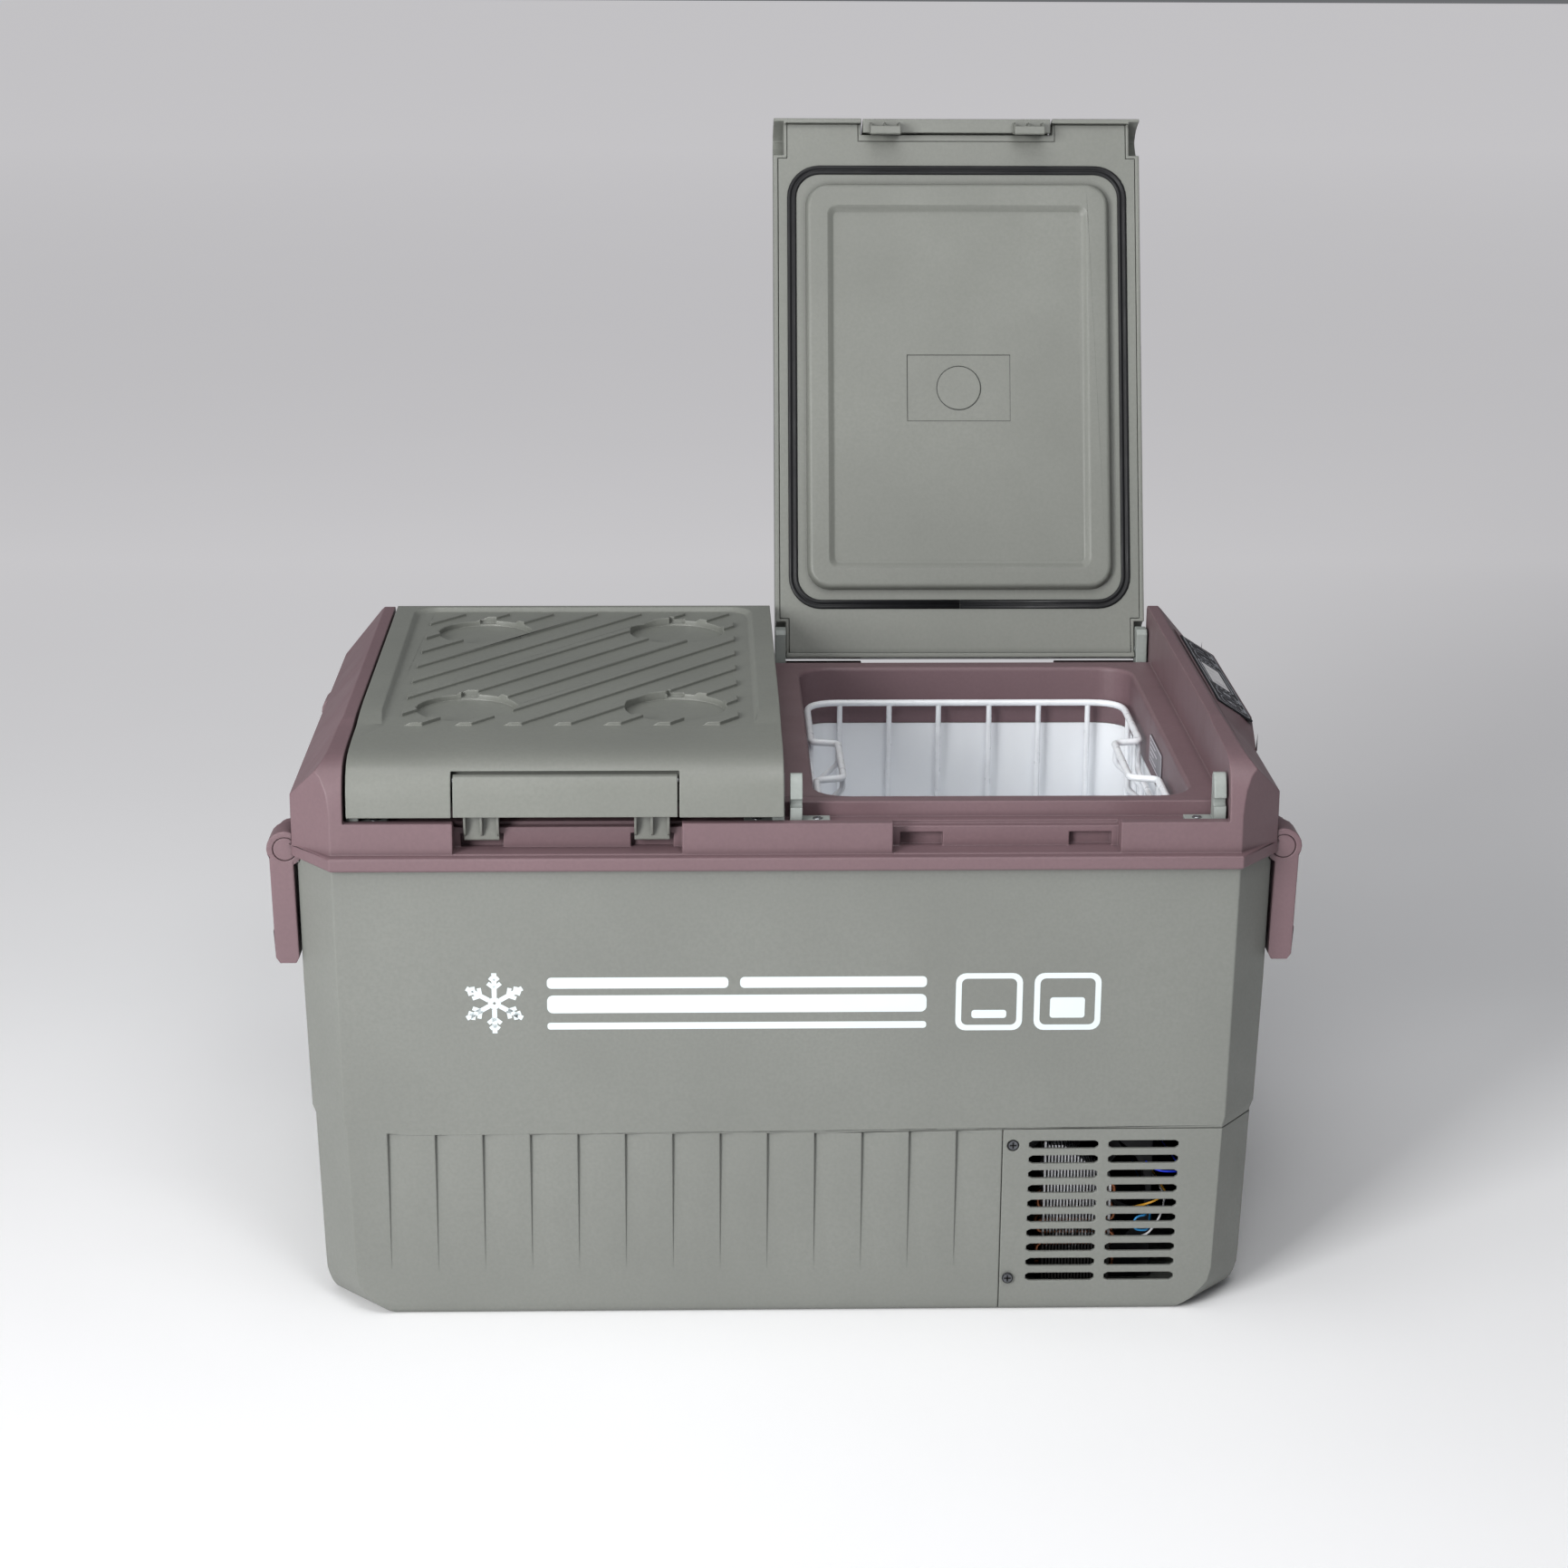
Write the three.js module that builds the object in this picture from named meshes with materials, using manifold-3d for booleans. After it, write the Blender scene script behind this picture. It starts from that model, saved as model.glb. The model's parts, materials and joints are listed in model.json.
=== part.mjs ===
// Dual-zone compressor cooler fridge: millimetres, +Z up, front towards -Y, origin on the floor plane
// under the middle of the body. The right lid is stored open against its stop, the left lid closed.
import * as THREE from "three";
import initManifold from "manifold-3d";

const wasm = await initManifold();
wasm.setup();

// ---- main sizes ---------------------------------------------------------------------------------
const GAP = 0.4; // air between neighbouring pieces
const WALL = 3; // body shell wall
const BODY_TOP = 331.8;
const FLOOR_T = 3;

// body outline by height: z, half width, half depth, corner cut along X, corner cut along Y
const BODY_LEVELS = [
  { z: 0, hx: 313, hy: 210, cx: 38.5, cy: 41 },
  { z: 2, hx: 316.6, hy: 212, cx: 38, cy: 40 },
  { z: 5, hx: 319.4, hy: 213.4, cx: 36.5, cy: 38.5 },
  { z: 9.4, hx: 321.8, hy: 214.2, cx: 33.5, cy: 37 },
  { z: 16, hx: 323.8, hy: 214.4, cx: 29.5, cy: 35 },
  { z: 22, hx: 325, hy: 214.5, cx: 26.2, cy: 33.6 },
  { z: 32, hx: 325.6, hy: 214.6, cx: 24.4, cy: 33 },
  { z: 141.6, hx: 328.8, hy: 217, cx: 24.4, cy: 33 },
  { z: 148, hx: 330.9, hy: 217.9, cx: 25, cy: 33 },
  { z: 242, hx: 333.4, hy: 220, cx: 26.4, cy: 33 },
  { z: BODY_TOP, hx: 334.4, hy: 221.6, cx: 26.4, cy: 33 },
];

const BAND = { z0: 332.1, z1: 341.9, hx: 337.7, hy: 228.3, cx: 28.9, cy: 36.6 };
const FRAME_FACE_Y = 220.5;
const FRAME_WALL_IN_Y = 212.4;
const FRAME_WALL_TOP = 363.8;
const TROUGH_Z = 359.2;
const DECK_Z = 370;
const DECK_HALF_Y = 190;
const SHOULDER_IN_X = 299.5;
const SHOULDER_TOP = 410;
const CHANNEL = { centre: 148.6, half: 77.4, backY: 204.2, topZ: 356.8, floorZ: 342.6 };
const CLAWS = [-58.3, 57.1]; // from the right lid's centre line; the left lid has them mirrored

const LID_CENTRE = 149.9;
const LID_HALF_W = 147.5;
const LID_TOP = 411.5;
const LID_HALF_L = 217.8;
const LID_SKIRT_Z = 367.4;
const LID_UNDER_Z = 371.2;
const PANEL_TOP_Z = 374.6;
const LID_CAVITY_TOP = 397.6;
const HINGE_Y = 211;
const HINGE_Z = 375;
const LID_OPEN_DEG = 110;
const NOTCH_IN = 139.3; // inner side of the bracket slots, from the lid's centre line
const NOTCH_R = 22.6;
const NOTCH_RIM = { x: 136.4, y: 186 }; // the panel's edge round the bracket slots
const LID_SKIN = 2.4;

const OPENING = { halfX: 130, y0: -175.5, y1: 173.5, corner: 24, throatZ: 325, wall: 3 };
const LEFT_FLOOR_Z = 46;
const RIGHT_FLOOR_Z = 166;

const BAY = { x0: 150, top: 142 };
const COVER = { x0: 151.4, top: 139.2 };

const HANDLE = { x: 342.6, z: 337, bossR: 12.6, stubR: 8.1, y0: 166, y1: 190.4, low: 254.6, gripTop: 283 };

// ---- colours ------------------------------------------------------------------------------------
function material(color, roughness, metalness = 0) {
  return new THREE.MeshStandardMaterial({ color, roughness, metalness });
}

const MATERIALS = {
  body: material(0x8a8d85, 0.62),
  lid: material(0x8f928a, 0.6),
  frame: material(0x7d6468, 0.55),
  liner: material(0xe6ebf0, 0.35),
  wire: material(0xf3f5f7, 0.35),
  rubber: material(0x15171b, 0.7),
  bracket: material(0x9aa39c, 0.5),
  foam: material(0xe8e0b8, 0.9),
  steel: material(0xb8babd, 0.35, 0.9),
  blackSteel: material(0x17181a, 0.45, 0.5),
  copper: material(0xb06a3a, 0.35, 0.9),
  aluminium: material(0xc9cbcd, 0.4, 0.9),
  blackPlastic: material(0x1d1e20, 0.5),
  panel: material(0x4a484b, 0.45),
  glass: material(0x0d1014, 0.1),
  galvanised: material(0x9da1a3, 0.5, 0.8),
};

// ---- solid modelling helpers --------------------------------------------------------------------
function toSolid(geometry) {
  const bare = geometry.clone();
  bare.deleteAttribute("normal");
  bare.deleteAttribute("uv");
  const merged = weld(bare);
  const mesh = new wasm.Mesh({
    numProp: 3,
    vertProperties: new Float32Array(merged.positions),
    triVerts: new Uint32Array(merged.triangles),
  });
  return new wasm.Manifold(mesh);
}

function weld(geometry) {
  const source = geometry.index ? geometry.toNonIndexed() : geometry;
  const array = source.attributes.position.array;
  const lookup = new Map();
  const positions = [];
  const corners = [];
  for (let i = 0; i < array.length; i += 3) {
    const key = [0, 1, 2].map((k) => Math.round(array[i + k] * 1e4)).join("/");
    if (!lookup.has(key)) {
      lookup.set(key, positions.length / 3);
      positions.push(array[i], array[i + 1], array[i + 2]);
    }
    corners.push(lookup.get(key));
  }
  const triangles = [];
  for (let i = 0; i < corners.length; i += 3) {
    const [a, b, c] = corners.slice(i, i + 3);
    if (a !== b && b !== c && c !== a) {
      triangles.push(a, b, c);
    }
  }
  return { positions, triangles };
}

function toGeometry(solid) {
  const mesh = solid.getMesh();
  const geometry = new THREE.BufferGeometry();
  const stride = mesh.numProp;
  const positions = new Float32Array((mesh.vertProperties.length / stride) * 3);
  for (let i = 0; i < positions.length / 3; i += 1) {
    for (let k = 0; k < 3; k += 1) {
      positions[i * 3 + k] = mesh.vertProperties[i * stride + k];
    }
  }
  geometry.setAttribute("position", new THREE.BufferAttribute(positions, 3));
  geometry.setIndex(new THREE.BufferAttribute(new Uint32Array(mesh.triVerts), 1));
  geometry.computeVertexNormals();
  return geometry;
}

function union(...solids) {
  return solids.flat().reduce((sum, solid) => sum.add(solid));
}

function cut(solid, ...tools) {
  return tools.flat().reduce((rest, tool) => rest.subtract(tool), solid);
}

function common(a, b) {
  return a.intersect(b);
}

function box(x0, x1, y0, y1, z0, z1) {
  const geometry = new THREE.BoxGeometry(x1 - x0, y1 - y0, z1 - z0);
  geometry.translate((x0 + x1) / 2, (y0 + y1) / 2, (z0 + z1) / 2);
  return toSolid(geometry);
}

// a cylinder along "x", "y" or "z" from start to end, centred on the other two coordinates
function cylinder(axis, start, end, u, v, radius, segments = 24, endRadius = radius) {
  const geometry = new THREE.CylinderGeometry(endRadius, radius, end - start, segments);
  const middle = (start + end) / 2;
  if (axis === "x") {
    geometry.rotateZ(-Math.PI / 2);
    geometry.translate(middle, u, v);
  } else if (axis === "y") {
    geometry.translate(u, middle, v);
  } else {
    geometry.rotateX(Math.PI / 2);
    geometry.translate(u, v, middle);
  }
  return toSolid(geometry);
}

// rings of equal length, each a counter-clockwise convex outline seen from above, lowest first
function loft(rings) {
  const count = rings[0].length;
  const positions = rings.flat(2);
  const index = [];
  for (let level = 0; level + 1 < rings.length; level += 1) {
    for (let i = 0; i < count; i += 1) {
      const a = level * count + i;
      const b = level * count + ((i + 1) % count);
      index.push(a, b, b + count, a, b + count, a + count);
    }
  }
  const last = (rings.length - 1) * count;
  for (let i = 1; i + 1 < count; i += 1) {
    index.push(0, i + 1, i, last, last + i, last + i + 1);
  }
  const geometry = new THREE.BufferGeometry();
  geometry.setAttribute("position", new THREE.BufferAttribute(new Float32Array(positions), 3));
  geometry.setIndex(index);
  return toSolid(geometry);
}

function outlineShape(points) {
  return new THREE.Shape(points.map(([u, v]) => new THREE.Vector2(u, v)));
}

// an outline of (Y, Z) points drawn out along X
function extrudeX(points, x0, x1) {
  const geometry = new THREE.ExtrudeGeometry(outlineShape(points), { depth: x1 - x0, bevelEnabled: false });
  const basis = new THREE.Matrix4().makeBasis(
    new THREE.Vector3(0, 1, 0),
    new THREE.Vector3(0, 0, 1),
    new THREE.Vector3(1, 0, 0),
  );
  geometry.applyMatrix4(basis);
  geometry.translate(x0, 0, 0);
  return toSolid(geometry);
}

// an outline of (X, Z) points drawn out along Y
function extrudeY(points, y0, y1) {
  const geometry = new THREE.ExtrudeGeometry(outlineShape(points), { depth: y1 - y0, bevelEnabled: false });
  geometry.rotateX(Math.PI / 2);
  geometry.translate(0, y1, 0);
  return toSolid(geometry);
}

// an outline of (X, Y) points drawn out along Z
function extrudeZ(points, z0, z1) {
  const geometry = new THREE.ExtrudeGeometry(outlineShape(points), { depth: z1 - z0, bevelEnabled: false });
  geometry.translate(0, 0, z0);
  return toSolid(geometry);
}

function roundedOutline(x0, x1, y0, y1, radius, steps = 4) {
  const corners = [
    [x1 - radius, y0 + radius, -90],
    [x1 - radius, y1 - radius, 0],
    [x0 + radius, y1 - radius, 90],
    [x0 + radius, y0 + radius, 180],
  ];
  return corners.flatMap(([cx, cy, start]) =>
    Array.from({ length: steps + 1 }, (_, i) => {
      const angle = THREE.MathUtils.degToRad(start + (90 * i) / steps);
      return [cx + radius * Math.cos(angle), cy + radius * Math.sin(angle)];
    }),
  );
}

function roundedBlock(x0, x1, y0, y1, z0, z1, radius, steps = 4) {
  return extrudeZ(roundedOutline(x0, x1, y0, y1, radius, steps), z0, z1);
}

// a square bar between two points, run past both of them by half its width
function bar(from, to, width) {
  const a = new THREE.Vector3(...from);
  const b = new THREE.Vector3(...to);
  const length = a.distanceTo(b) + width;
  const geometry = new THREE.BoxGeometry(width, width, length);
  const turn = new THREE.Quaternion().setFromUnitVectors(
    new THREE.Vector3(0, 0, 1),
    b.clone().sub(a).normalize(),
  );
  geometry.applyQuaternion(turn);
  geometry.translate((a.x + b.x) / 2, (a.y + b.y) / 2, (a.z + b.z) / 2);
  return toSolid(geometry);
}

function mirrorX(solid) {
  return solid.mirror([1, 0, 0]);
}

function mirrorY(solid) {
  return solid.mirror([0, 1, 0]);
}

function tube(points, radius, segments, sides = 8) {
  const path = new THREE.CatmullRomCurve3(points.map((p) => new THREE.Vector3(...p)));
  const circle = Array.from({ length: sides }, (_, i) => {
    const angle = (2 * Math.PI * i) / sides;
    return [radius * Math.cos(angle), radius * Math.sin(angle)];
  });
  return toSolid(
    new THREE.ExtrudeGeometry(outlineShape(circle), {
      steps: segments,
      extrudePath: path,
      bevelEnabled: false,
    }),
  );
}

// ---- body ---------------------------------------------------------------------------------------
function octagon(level, inset = 0, z = level.z) {
  const hx = level.hx - inset;
  const hy = level.hy - inset;
  const cx = level.cx - inset * 0.3;
  const cy = level.cy - inset * 0.3;
  return [
    [hx, -hy + cy, z],
    [hx, hy - cy, z],
    [hx - cx, hy, z],
    [-hx + cx, hy, z],
    [-hx, hy - cy, z],
    [-hx, -hy + cy, z],
    [-hx + cx, -hy, z],
    [hx - cx, -hy, z],
  ];
}

// the body's outline shrunk by inset, from zLow (which may be under the body) up to its top and zHigh
function bodyCore(inset, zLow, zHigh) {
  const rings = BODY_LEVELS.map((level) => octagon(level, inset));
  rings.push(octagon(BODY_LEVELS.at(-1), inset, BODY_TOP + 20));
  rings.unshift(octagon(BODY_LEVELS[0], inset, -10));
  return common(loft(rings), box(-400, 400, -300, 300, zLow, zHigh));
}

// one tapering groove of the front: deep at its top left corner, run out to the right and downwards
function frontGroove(x) {
  const section = (z, surface, depth) => [
    [x, surface + depth, z],
    [x, -230, z],
    [x + 12, -230, z],
    [x + 12, surface - 0.03, z],
  ];
  return loft([section(27, -214.55, -0.1), section(138.2, -216.93, 2.8)]);
}

function handleNotches() {
  const right = [
    cylinder("y", HANDLE.y0 - 0.5, HANDLE.y1 + 0.5, HANDLE.x, HANDLE.z, HANDLE.bossR + 0.7, 24),
    cylinder("y", -HANDLE.y1 - 0.5, -HANDLE.y0 + 0.5, HANDLE.x, HANDLE.z, HANDLE.bossR + 0.7, 24),
  ];
  return [...right, ...right.map(mirrorX)];
}

function coverZone(grow) {
  const zone = box(COVER.x0 - grow, 400, -300, 300, -20, COVER.top + grow);
  const floorPlate = bodyCore(WALL + GAP, -30, FLOOR_T);
  return cut(zone, floorPlate);
}

function footPositions() {
  return [
    ["front_left", -255, -150],
    ["front_right", 255, -150],
    ["rear_left", -255, 150],
    ["rear_right", 255, 150],
  ];
}

function outerShell() {
  const outer = bodyCore(0, 0, BODY_TOP);
  const cavity = bodyCore(WALL, FLOOR_T, BODY_TOP + 5);
  const grooves = Array.from({ length: 13 }, (_, i) => frontGroove(-276 + i * 32.9));
  const footHoles = footPositions().map(([, x, y]) => cylinder("z", -1, FLOOR_T + 1, x, y, 14, 16));
  return cut(outer, cavity, grooves, footHoles, coverZone(GAP), handleNotches());
}

function footPad(x, y) {
  return cylinder("z", 0, FLOOR_T, x, y, 13.3, 16);
}

function slotRow(x0, x1, z, y0, y1) {
  const radius = 3.1;
  const outline = [
    ...arcPoints(x1 - radius, z, radius, -90, 90, 3),
    ...arcPoints(x0 + radius, z, radius, 90, 270, 3),
  ];
  return extrudeY(outline, y0, y1);
}

function arcPoints(u, v, radius, startDeg, endDeg, steps) {
  return Array.from({ length: steps + 1 }, (_, i) => {
    const angle = THREE.MathUtils.degToRad(startDeg + ((endDeg - startDeg) * i) / steps);
    return [u + radius * Math.cos(angle), v + radius * Math.sin(angle)];
  });
}

const COVER_SCREWS = [
  [158.6, 127],
  [157, 26],
];

function compressorCover() {
  const outer = bodyCore(0, 0, BODY_TOP);
  const inner = bodyCore(WALL, -30, BODY_TOP + 5);
  const zone = box(COVER.x0, 400, -300, 300, -20, COVER.top);
  const slots = [];
  for (let row = 0; row < 10; row += 1) {
    const z = 127.4 - row * 11.25;
    slots.push(slotRow(169.4, 218.8, z, -225, -205), slotRow(225, 275, z, -225, -205));
    slots.push(slotRow(196, 262, z, 205, 225));
  }
  const inletHole = roundedBlockY(283.5, 300.5, 205, 225, 40, 66, 3);
  const screwHoles = COVER_SCREWS.map(([x, z]) => cylinder("y", -225, -205, x, z, 2.3, 12));
  const heads = COVER_SCREWS.map(([x, z]) => cylinder("y", -225, -214.6, x, z, 4.3, 16));
  return cut(common(cut(outer, inner), zone), slots, inletHole, screwHoles, heads);
}

function roundedBlockY(x0, x1, y0, y1, z0, z1, radius) {
  return extrudeY(roundedOutline(x0, x1, z0, z1, radius, 3), y0, y1);
}

function coverScrew([x, z]) {
  const head = cylinder("y", -216.6, -214.9, x, z, 3.9, 16);
  const shaft = cylinder("y", -215.5, -206, x, z, 1.9, 12);
  const crossA = box(x - 2.3, x + 2.3, -218, -215.8, z - 0.45, z + 0.45);
  const crossB = box(x - 0.45, x + 0.45, -218, -215.8, z - 2.3, z + 2.3);
  return cut(union(head, shaft), crossA, crossB);
}

function bayLiner() {
  const wall = box(BAY.x0 - 3, BAY.x0 - 1, -300, 300, FLOOR_T + GAP, BAY.top + 2);
  const ceiling = box(BAY.x0 - 3, 400, -300, 300, BAY.top, BAY.top + 2);
  return common(union(wall, ceiling), bodyCore(WALL + GAP, 0, 300));
}

// ---- compartments -------------------------------------------------------------------------------
function compartmentOutline(sign, inset, corner) {
  const centre = sign * LID_CENTRE;
  const halfX = OPENING.halfX - inset;
  return roundedOutline(
    centre - halfX,
    centre + halfX,
    OPENING.y0 + inset,
    OPENING.y1 - inset,
    corner,
    5,
  );
}

// white inner box: starts under the frame's throat and is open at the top
function liner(sign, floorZ) {
  const top = OPENING.throatZ - 0.3;
  const outer = extrudeZ(compartmentOutline(sign, -1.5, OPENING.corner + 1.5), floorZ - 1.5, top);
  const inner = extrudeZ(compartmentOutline(sign, 0.3, OPENING.corner - 0.3), floorZ, top + 5);
  return cut(outer, inner);
}

function evaporator(sign, floorZ) {
  const zTop = 300;
  const zLow = floorZ + 12;
  const outer = extrudeZ(compartmentOutline(sign, -3.4, OPENING.corner + 3.4), zLow, zTop);
  const inner = extrudeZ(compartmentOutline(sign, -1.9, OPENING.corner + 1.9), zLow - 5, zTop + 5);
  const frontGap = box(-400, 400, -300, -150, 0, 400);
  return cut(outer, inner, frontGap);
}

function insulationFoam() {
  const block = bodyCore(WALL + GAP, FLOOR_T + GAP, BODY_TOP - 0.4);
  const wells = [
    [-1, LEFT_FLOOR_Z],
    [1, RIGHT_FLOOR_Z],
  ].map(([sign, floorZ]) =>
    extrudeZ(compartmentOutline(sign, -3.9, OPENING.corner + 3.9), floorZ - 1.9, 400),
  );
  const bay = box(BAY.x0 - 3.4, 400, -300, 300, -20, BAY.top + 2.4);
  const feet = footPositions().map(([, x, y]) => cylinder("z", 0, 4, x, y, 15, 16));
  return cut(block, wells, bay, feet, handleNotches());
}

const BASKET = { hx: 127, y0: -168, y1: 166, corner: 24, rimZ: 344 };
const GRIP = { half: 50, flat: 44, in: 20 };

// outline of the rim seen from above; with a grip, both sides dip inwards as finger grips
function basketOutline(centre, inset, grip) {
  const hx = BASKET.hx - inset;
  const y0 = BASKET.y0 + inset;
  const y1 = BASKET.y1 - inset;
  const corner = BASKET.corner - inset * 0.6;
  const wide = inset * 0.7;
  const dip = [
    [hx, -GRIP.half - wide],
    [hx - GRIP.in, -GRIP.flat - wide],
    [hx - GRIP.in, GRIP.flat + wide],
    [hx, GRIP.half + wide],
  ];
  const front = [
    [hx - corner, y0],
    [hx, y0 + corner],
  ];
  const rear = [
    [hx, y1 - corner],
    [hx - corner, y1],
  ];
  const right = [...front, ...(grip ? dip : []), ...rear];
  const left = right.map(([x, y]) => [-x, y]).reverse();
  return [...right, ...left].map(([x, y]) => [x + centre, y]);
}

function basketRail(centre, z0, z1, width, grip) {
  const outer = extrudeZ(basketOutline(centre, 0, grip), z0, z1);
  return cut(outer, extrudeZ(basketOutline(centre, width, grip), z0 - 5, z1 + 5));
}

// wire basket of square bars, standing on the compartment's floor
function basket(sign, floorZ) {
  const { hx, y0, y1, rimZ } = BASKET;
  const centre = sign * LID_CENTRE;
  const low = floorZ + GAP;
  const rim = basketRail(centre, rimZ - 2.5, rimZ + 2.5, 5, true);
  const base = basketRail(centre, low, low + 4.4, 4.4, false);
  const hoop = (a, b, under) => [
    [a, rimZ],
    [a, low + under],
    [b, low + under],
    [b, rimZ],
    [b - 4, rimZ],
    [b - 4, low + under + 3],
    [a + 4, low + under + 3],
    [a + 4, rimZ],
  ];
  const hoops = [-98, -59, -20, 20, 59, 98].map((dx) =>
    extrudeX(hoop(y0 + 0.5, y1 - 0.5, 0.8), centre + dx - 2, centre + dx + 2),
  );
  const sides = [-120, -72, 72, 120].map((y) =>
    extrudeY(hoop(centre - hx + 0.4, centre + hx - 0.4, 0.4), y - 2, y + 2),
  );
  return union(rim, base, hoops, sides);
}

// ---- upper frame --------------------------------------------------------------------------------
function framePlan(z0, z1) {
  const face = 308.4;
  const half = BAND.hx;
  const cornerY = 191.7;
  const outline = [
    [half, -cornerY],
    [half, cornerY],
    [face, FRAME_FACE_Y],
    [-face, FRAME_FACE_Y],
    [-half, cornerY],
    [-half, -cornerY],
    [-face, -FRAME_FACE_Y],
    [face, -FRAME_FACE_Y],
  ];
  return extrudeZ(outline, z0, z1);
}

// side view outline shared by the lids and the shoulders: rounded front, low apron, then full height
function waterfall(grow, low) {
  const curve = [
    [-217.8, 367.4],
    [-217.2, 376],
    [-215.6, 386],
    [-211.8, 395.4],
    [-205.5, 401.3],
    [-196.5, 404.9],
    [-184, 406.6],
    [-165, 407.5],
    [-131, 407.9],
    [-118, 409.4],
    [-100, 410.9],
    [-76, LID_TOP],
  ];
  const front = curve.map(([y, z]) => [y - grow, z + grow * 0.4]);
  const top = LID_TOP + grow * 0.4;
  const rear = [
    [211.5 + grow, top],
    [215.4 + grow, top - 4],
    [217.8 + grow, low],
  ];
  return [[-217.8 - grow, low], ...front, ...rear];
}

function shoulderSection(inset, low) {
  return [
    [SHOULDER_IN_X + inset, low],
    [337.7 - inset, low],
    [337.7 - inset, 377 - inset * 0.4],
    [308 - inset * 0.4, SHOULDER_TOP - inset],
    [SHOULDER_IN_X + inset, SHOULDER_TOP - inset],
  ];
}

function shoulder() {
  const raw = extrudeY(shoulderSection(0, 341), -230, 230);
  const side = extrudeX(waterfall(2.7, 341).map(([y, z]) => [y, z - 1.5]), 290, 345);
  const body = common(raw, side);
  const hollow = extrudeY(shoulderSection(3.5, 320), -158, 158);
  return cut(body, hollow);
}

const POD = { topX: 312.4, topZ: 407, lowX: 342.8, lowZ: 387.3, y0: -60, y1: 138 };

function controlPod() {
  const section = (lift, y) => [
    [316, y, 378],
    [336, y, 368],
    [337.7 + 6 * lift, y, 374.5 + 6.5 * lift],
    [337.9 + (POD.lowX - 337.9) * lift, y, 376.8 + (POD.lowZ - 376.8) * lift],
    [POD.topX, y, 404.9 + (POD.topZ - 404.9) * lift],
  ];
  const rings = [section(0, -92), section(1, -38), section(1, 143), section(0, 176)];
  return loftY(rings);
}

// rings in planes of constant Y, in order of rising Y, each clockwise seen from the rear
function loftY(rings) {
  return loft(rings.map((ring) => [...ring].reverse()));
}

function panelFrame() {
  const along = new THREE.Vector3(POD.lowX - POD.topX, 0, POD.lowZ - POD.topZ);
  const width = along.length();
  const v = along.normalize();
  const u = new THREE.Vector3(0, 1, 0);
  const normal = new THREE.Vector3(-v.z, 0, v.x);
  const origin = new THREE.Vector3(
    (POD.topX + POD.lowX) / 2,
    (POD.y0 + POD.y1) / 2,
    (POD.topZ + POD.lowZ) / 2,
  );
  return { matrix: new THREE.Matrix4().makeBasis(v, u, normal).setPosition(origin), width };
}

// a block in the panel's own axes: across the slope, along Y and out of the face
function panelBlock(v0, v1, u0, u1, n0, n1, radius = 0) {
  const outline = radius
    ? roundedOutline(v0, v1, u0, u1, radius, 3)
    : [
        [v0, u0],
        [v1, u0],
        [v1, u1],
        [v0, u1],
      ];
  const settings = { depth: n1 - n0, bevelEnabled: false };
  const geometry = new THREE.ExtrudeGeometry(outlineShape(outline), settings);
  geometry.translate(0, 0, n0);
  geometry.applyMatrix4(panelFrame().matrix);
  return toSolid(geometry);
}

const PANEL_HALF = { v: 15.4, u: 97 };
const BUTTON = { half: 7, gap: 0.35, centres: [-78, -54, 54, 78] };
const LENS = { v: 8, u: 30 };

function controlPanel() {
  const { v, u } = PANEL_HALF;
  const plate = panelBlock(-v, v, -u, u, -0.9, 0.5, 2);
  const half = BUTTON.half + BUTTON.gap;
  const holes = BUTTON.centres.map((c) => panelBlock(-half, half, c - half, c + half, -3, 3, 2));
  const lens = panelBlock(-LENS.v - 0.2, LENS.v + 0.2, -LENS.u - 0.2, LENS.u + 0.2, -3, 3);
  return cut(plate, holes, lens);
}

function panelButton(centre) {
  const half = BUTTON.half;
  const cap = panelBlock(-half, half, centre - half, centre + half, -2.2, 0.9, 1.8);
  const dish = panelBlock(-half + 2, half - 2, centre - half + 2, centre + half - 2, 0.6, 2, 1);
  return cut(cap, dish);
}

function displayLens() {
  return panelBlock(-LENS.v, LENS.v, -LENS.u, LENS.u, -0.9, 0.35);
}

function panelPockets() {
  const { v, u } = PANEL_HALF;
  const seat = panelBlock(-v - 0.3, v + 0.3, -u - 0.3, u + 0.3, -1.2, 6, 2.2);
  const half = BUTTON.half + BUTTON.gap;
  const wells = BUTTON.centres.map((c) => panelBlock(-half, half, c - half, c + half, -3.6, 3, 2));
  return [seat, ...wells];
}

// the recess that the latch plate closes, with a low wall behind it
function latchChannel(sign) {
  const { centre, half, backY, topZ, floorZ } = CHANNEL;
  const [x0, x1] = [sign * centre - half, sign * centre + half];
  const outside = box(x0, x1, -240, -backY, floorZ, 370);
  const overWall = box(x0, x1, -240, -198.4, topZ, 370);
  return [outside, overWall];
}

// the claws hook under the wall's top edge in these pockets
function clawPockets(sign) {
  return CLAWS.map((dx) => {
    const x = sign * (LID_CENTRE + dx);
    return box(x - 14.5, x + 14.5, -206, -198.8, CHANNEL.floorZ, 352.4);
  });
}

// front wall of the ring: thin at the corners, thick behind the latch channels
function frontWall() {
  const thin = box(-SHOULDER_IN_X - 8, SHOULDER_IN_X + 8, -230, -FRAME_WALL_IN_Y, 341, FRAME_WALL_TOP);
  const wall = common(thin, framePlan(330, 420));
  const backing = [-CHANNEL.centre, CHANNEL.centre].map((c) =>
    box(c - CHANNEL.half - 4, c + CHANNEL.half + 4, -214, -196.2, 341, CHANNEL.topZ),
  );
  return union(wall, backing);
}

function frontRecesses() {
  return [-1, 1].flatMap((sign) => [...latchChannel(sign), ...clawPockets(sign)]);
}

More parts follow.
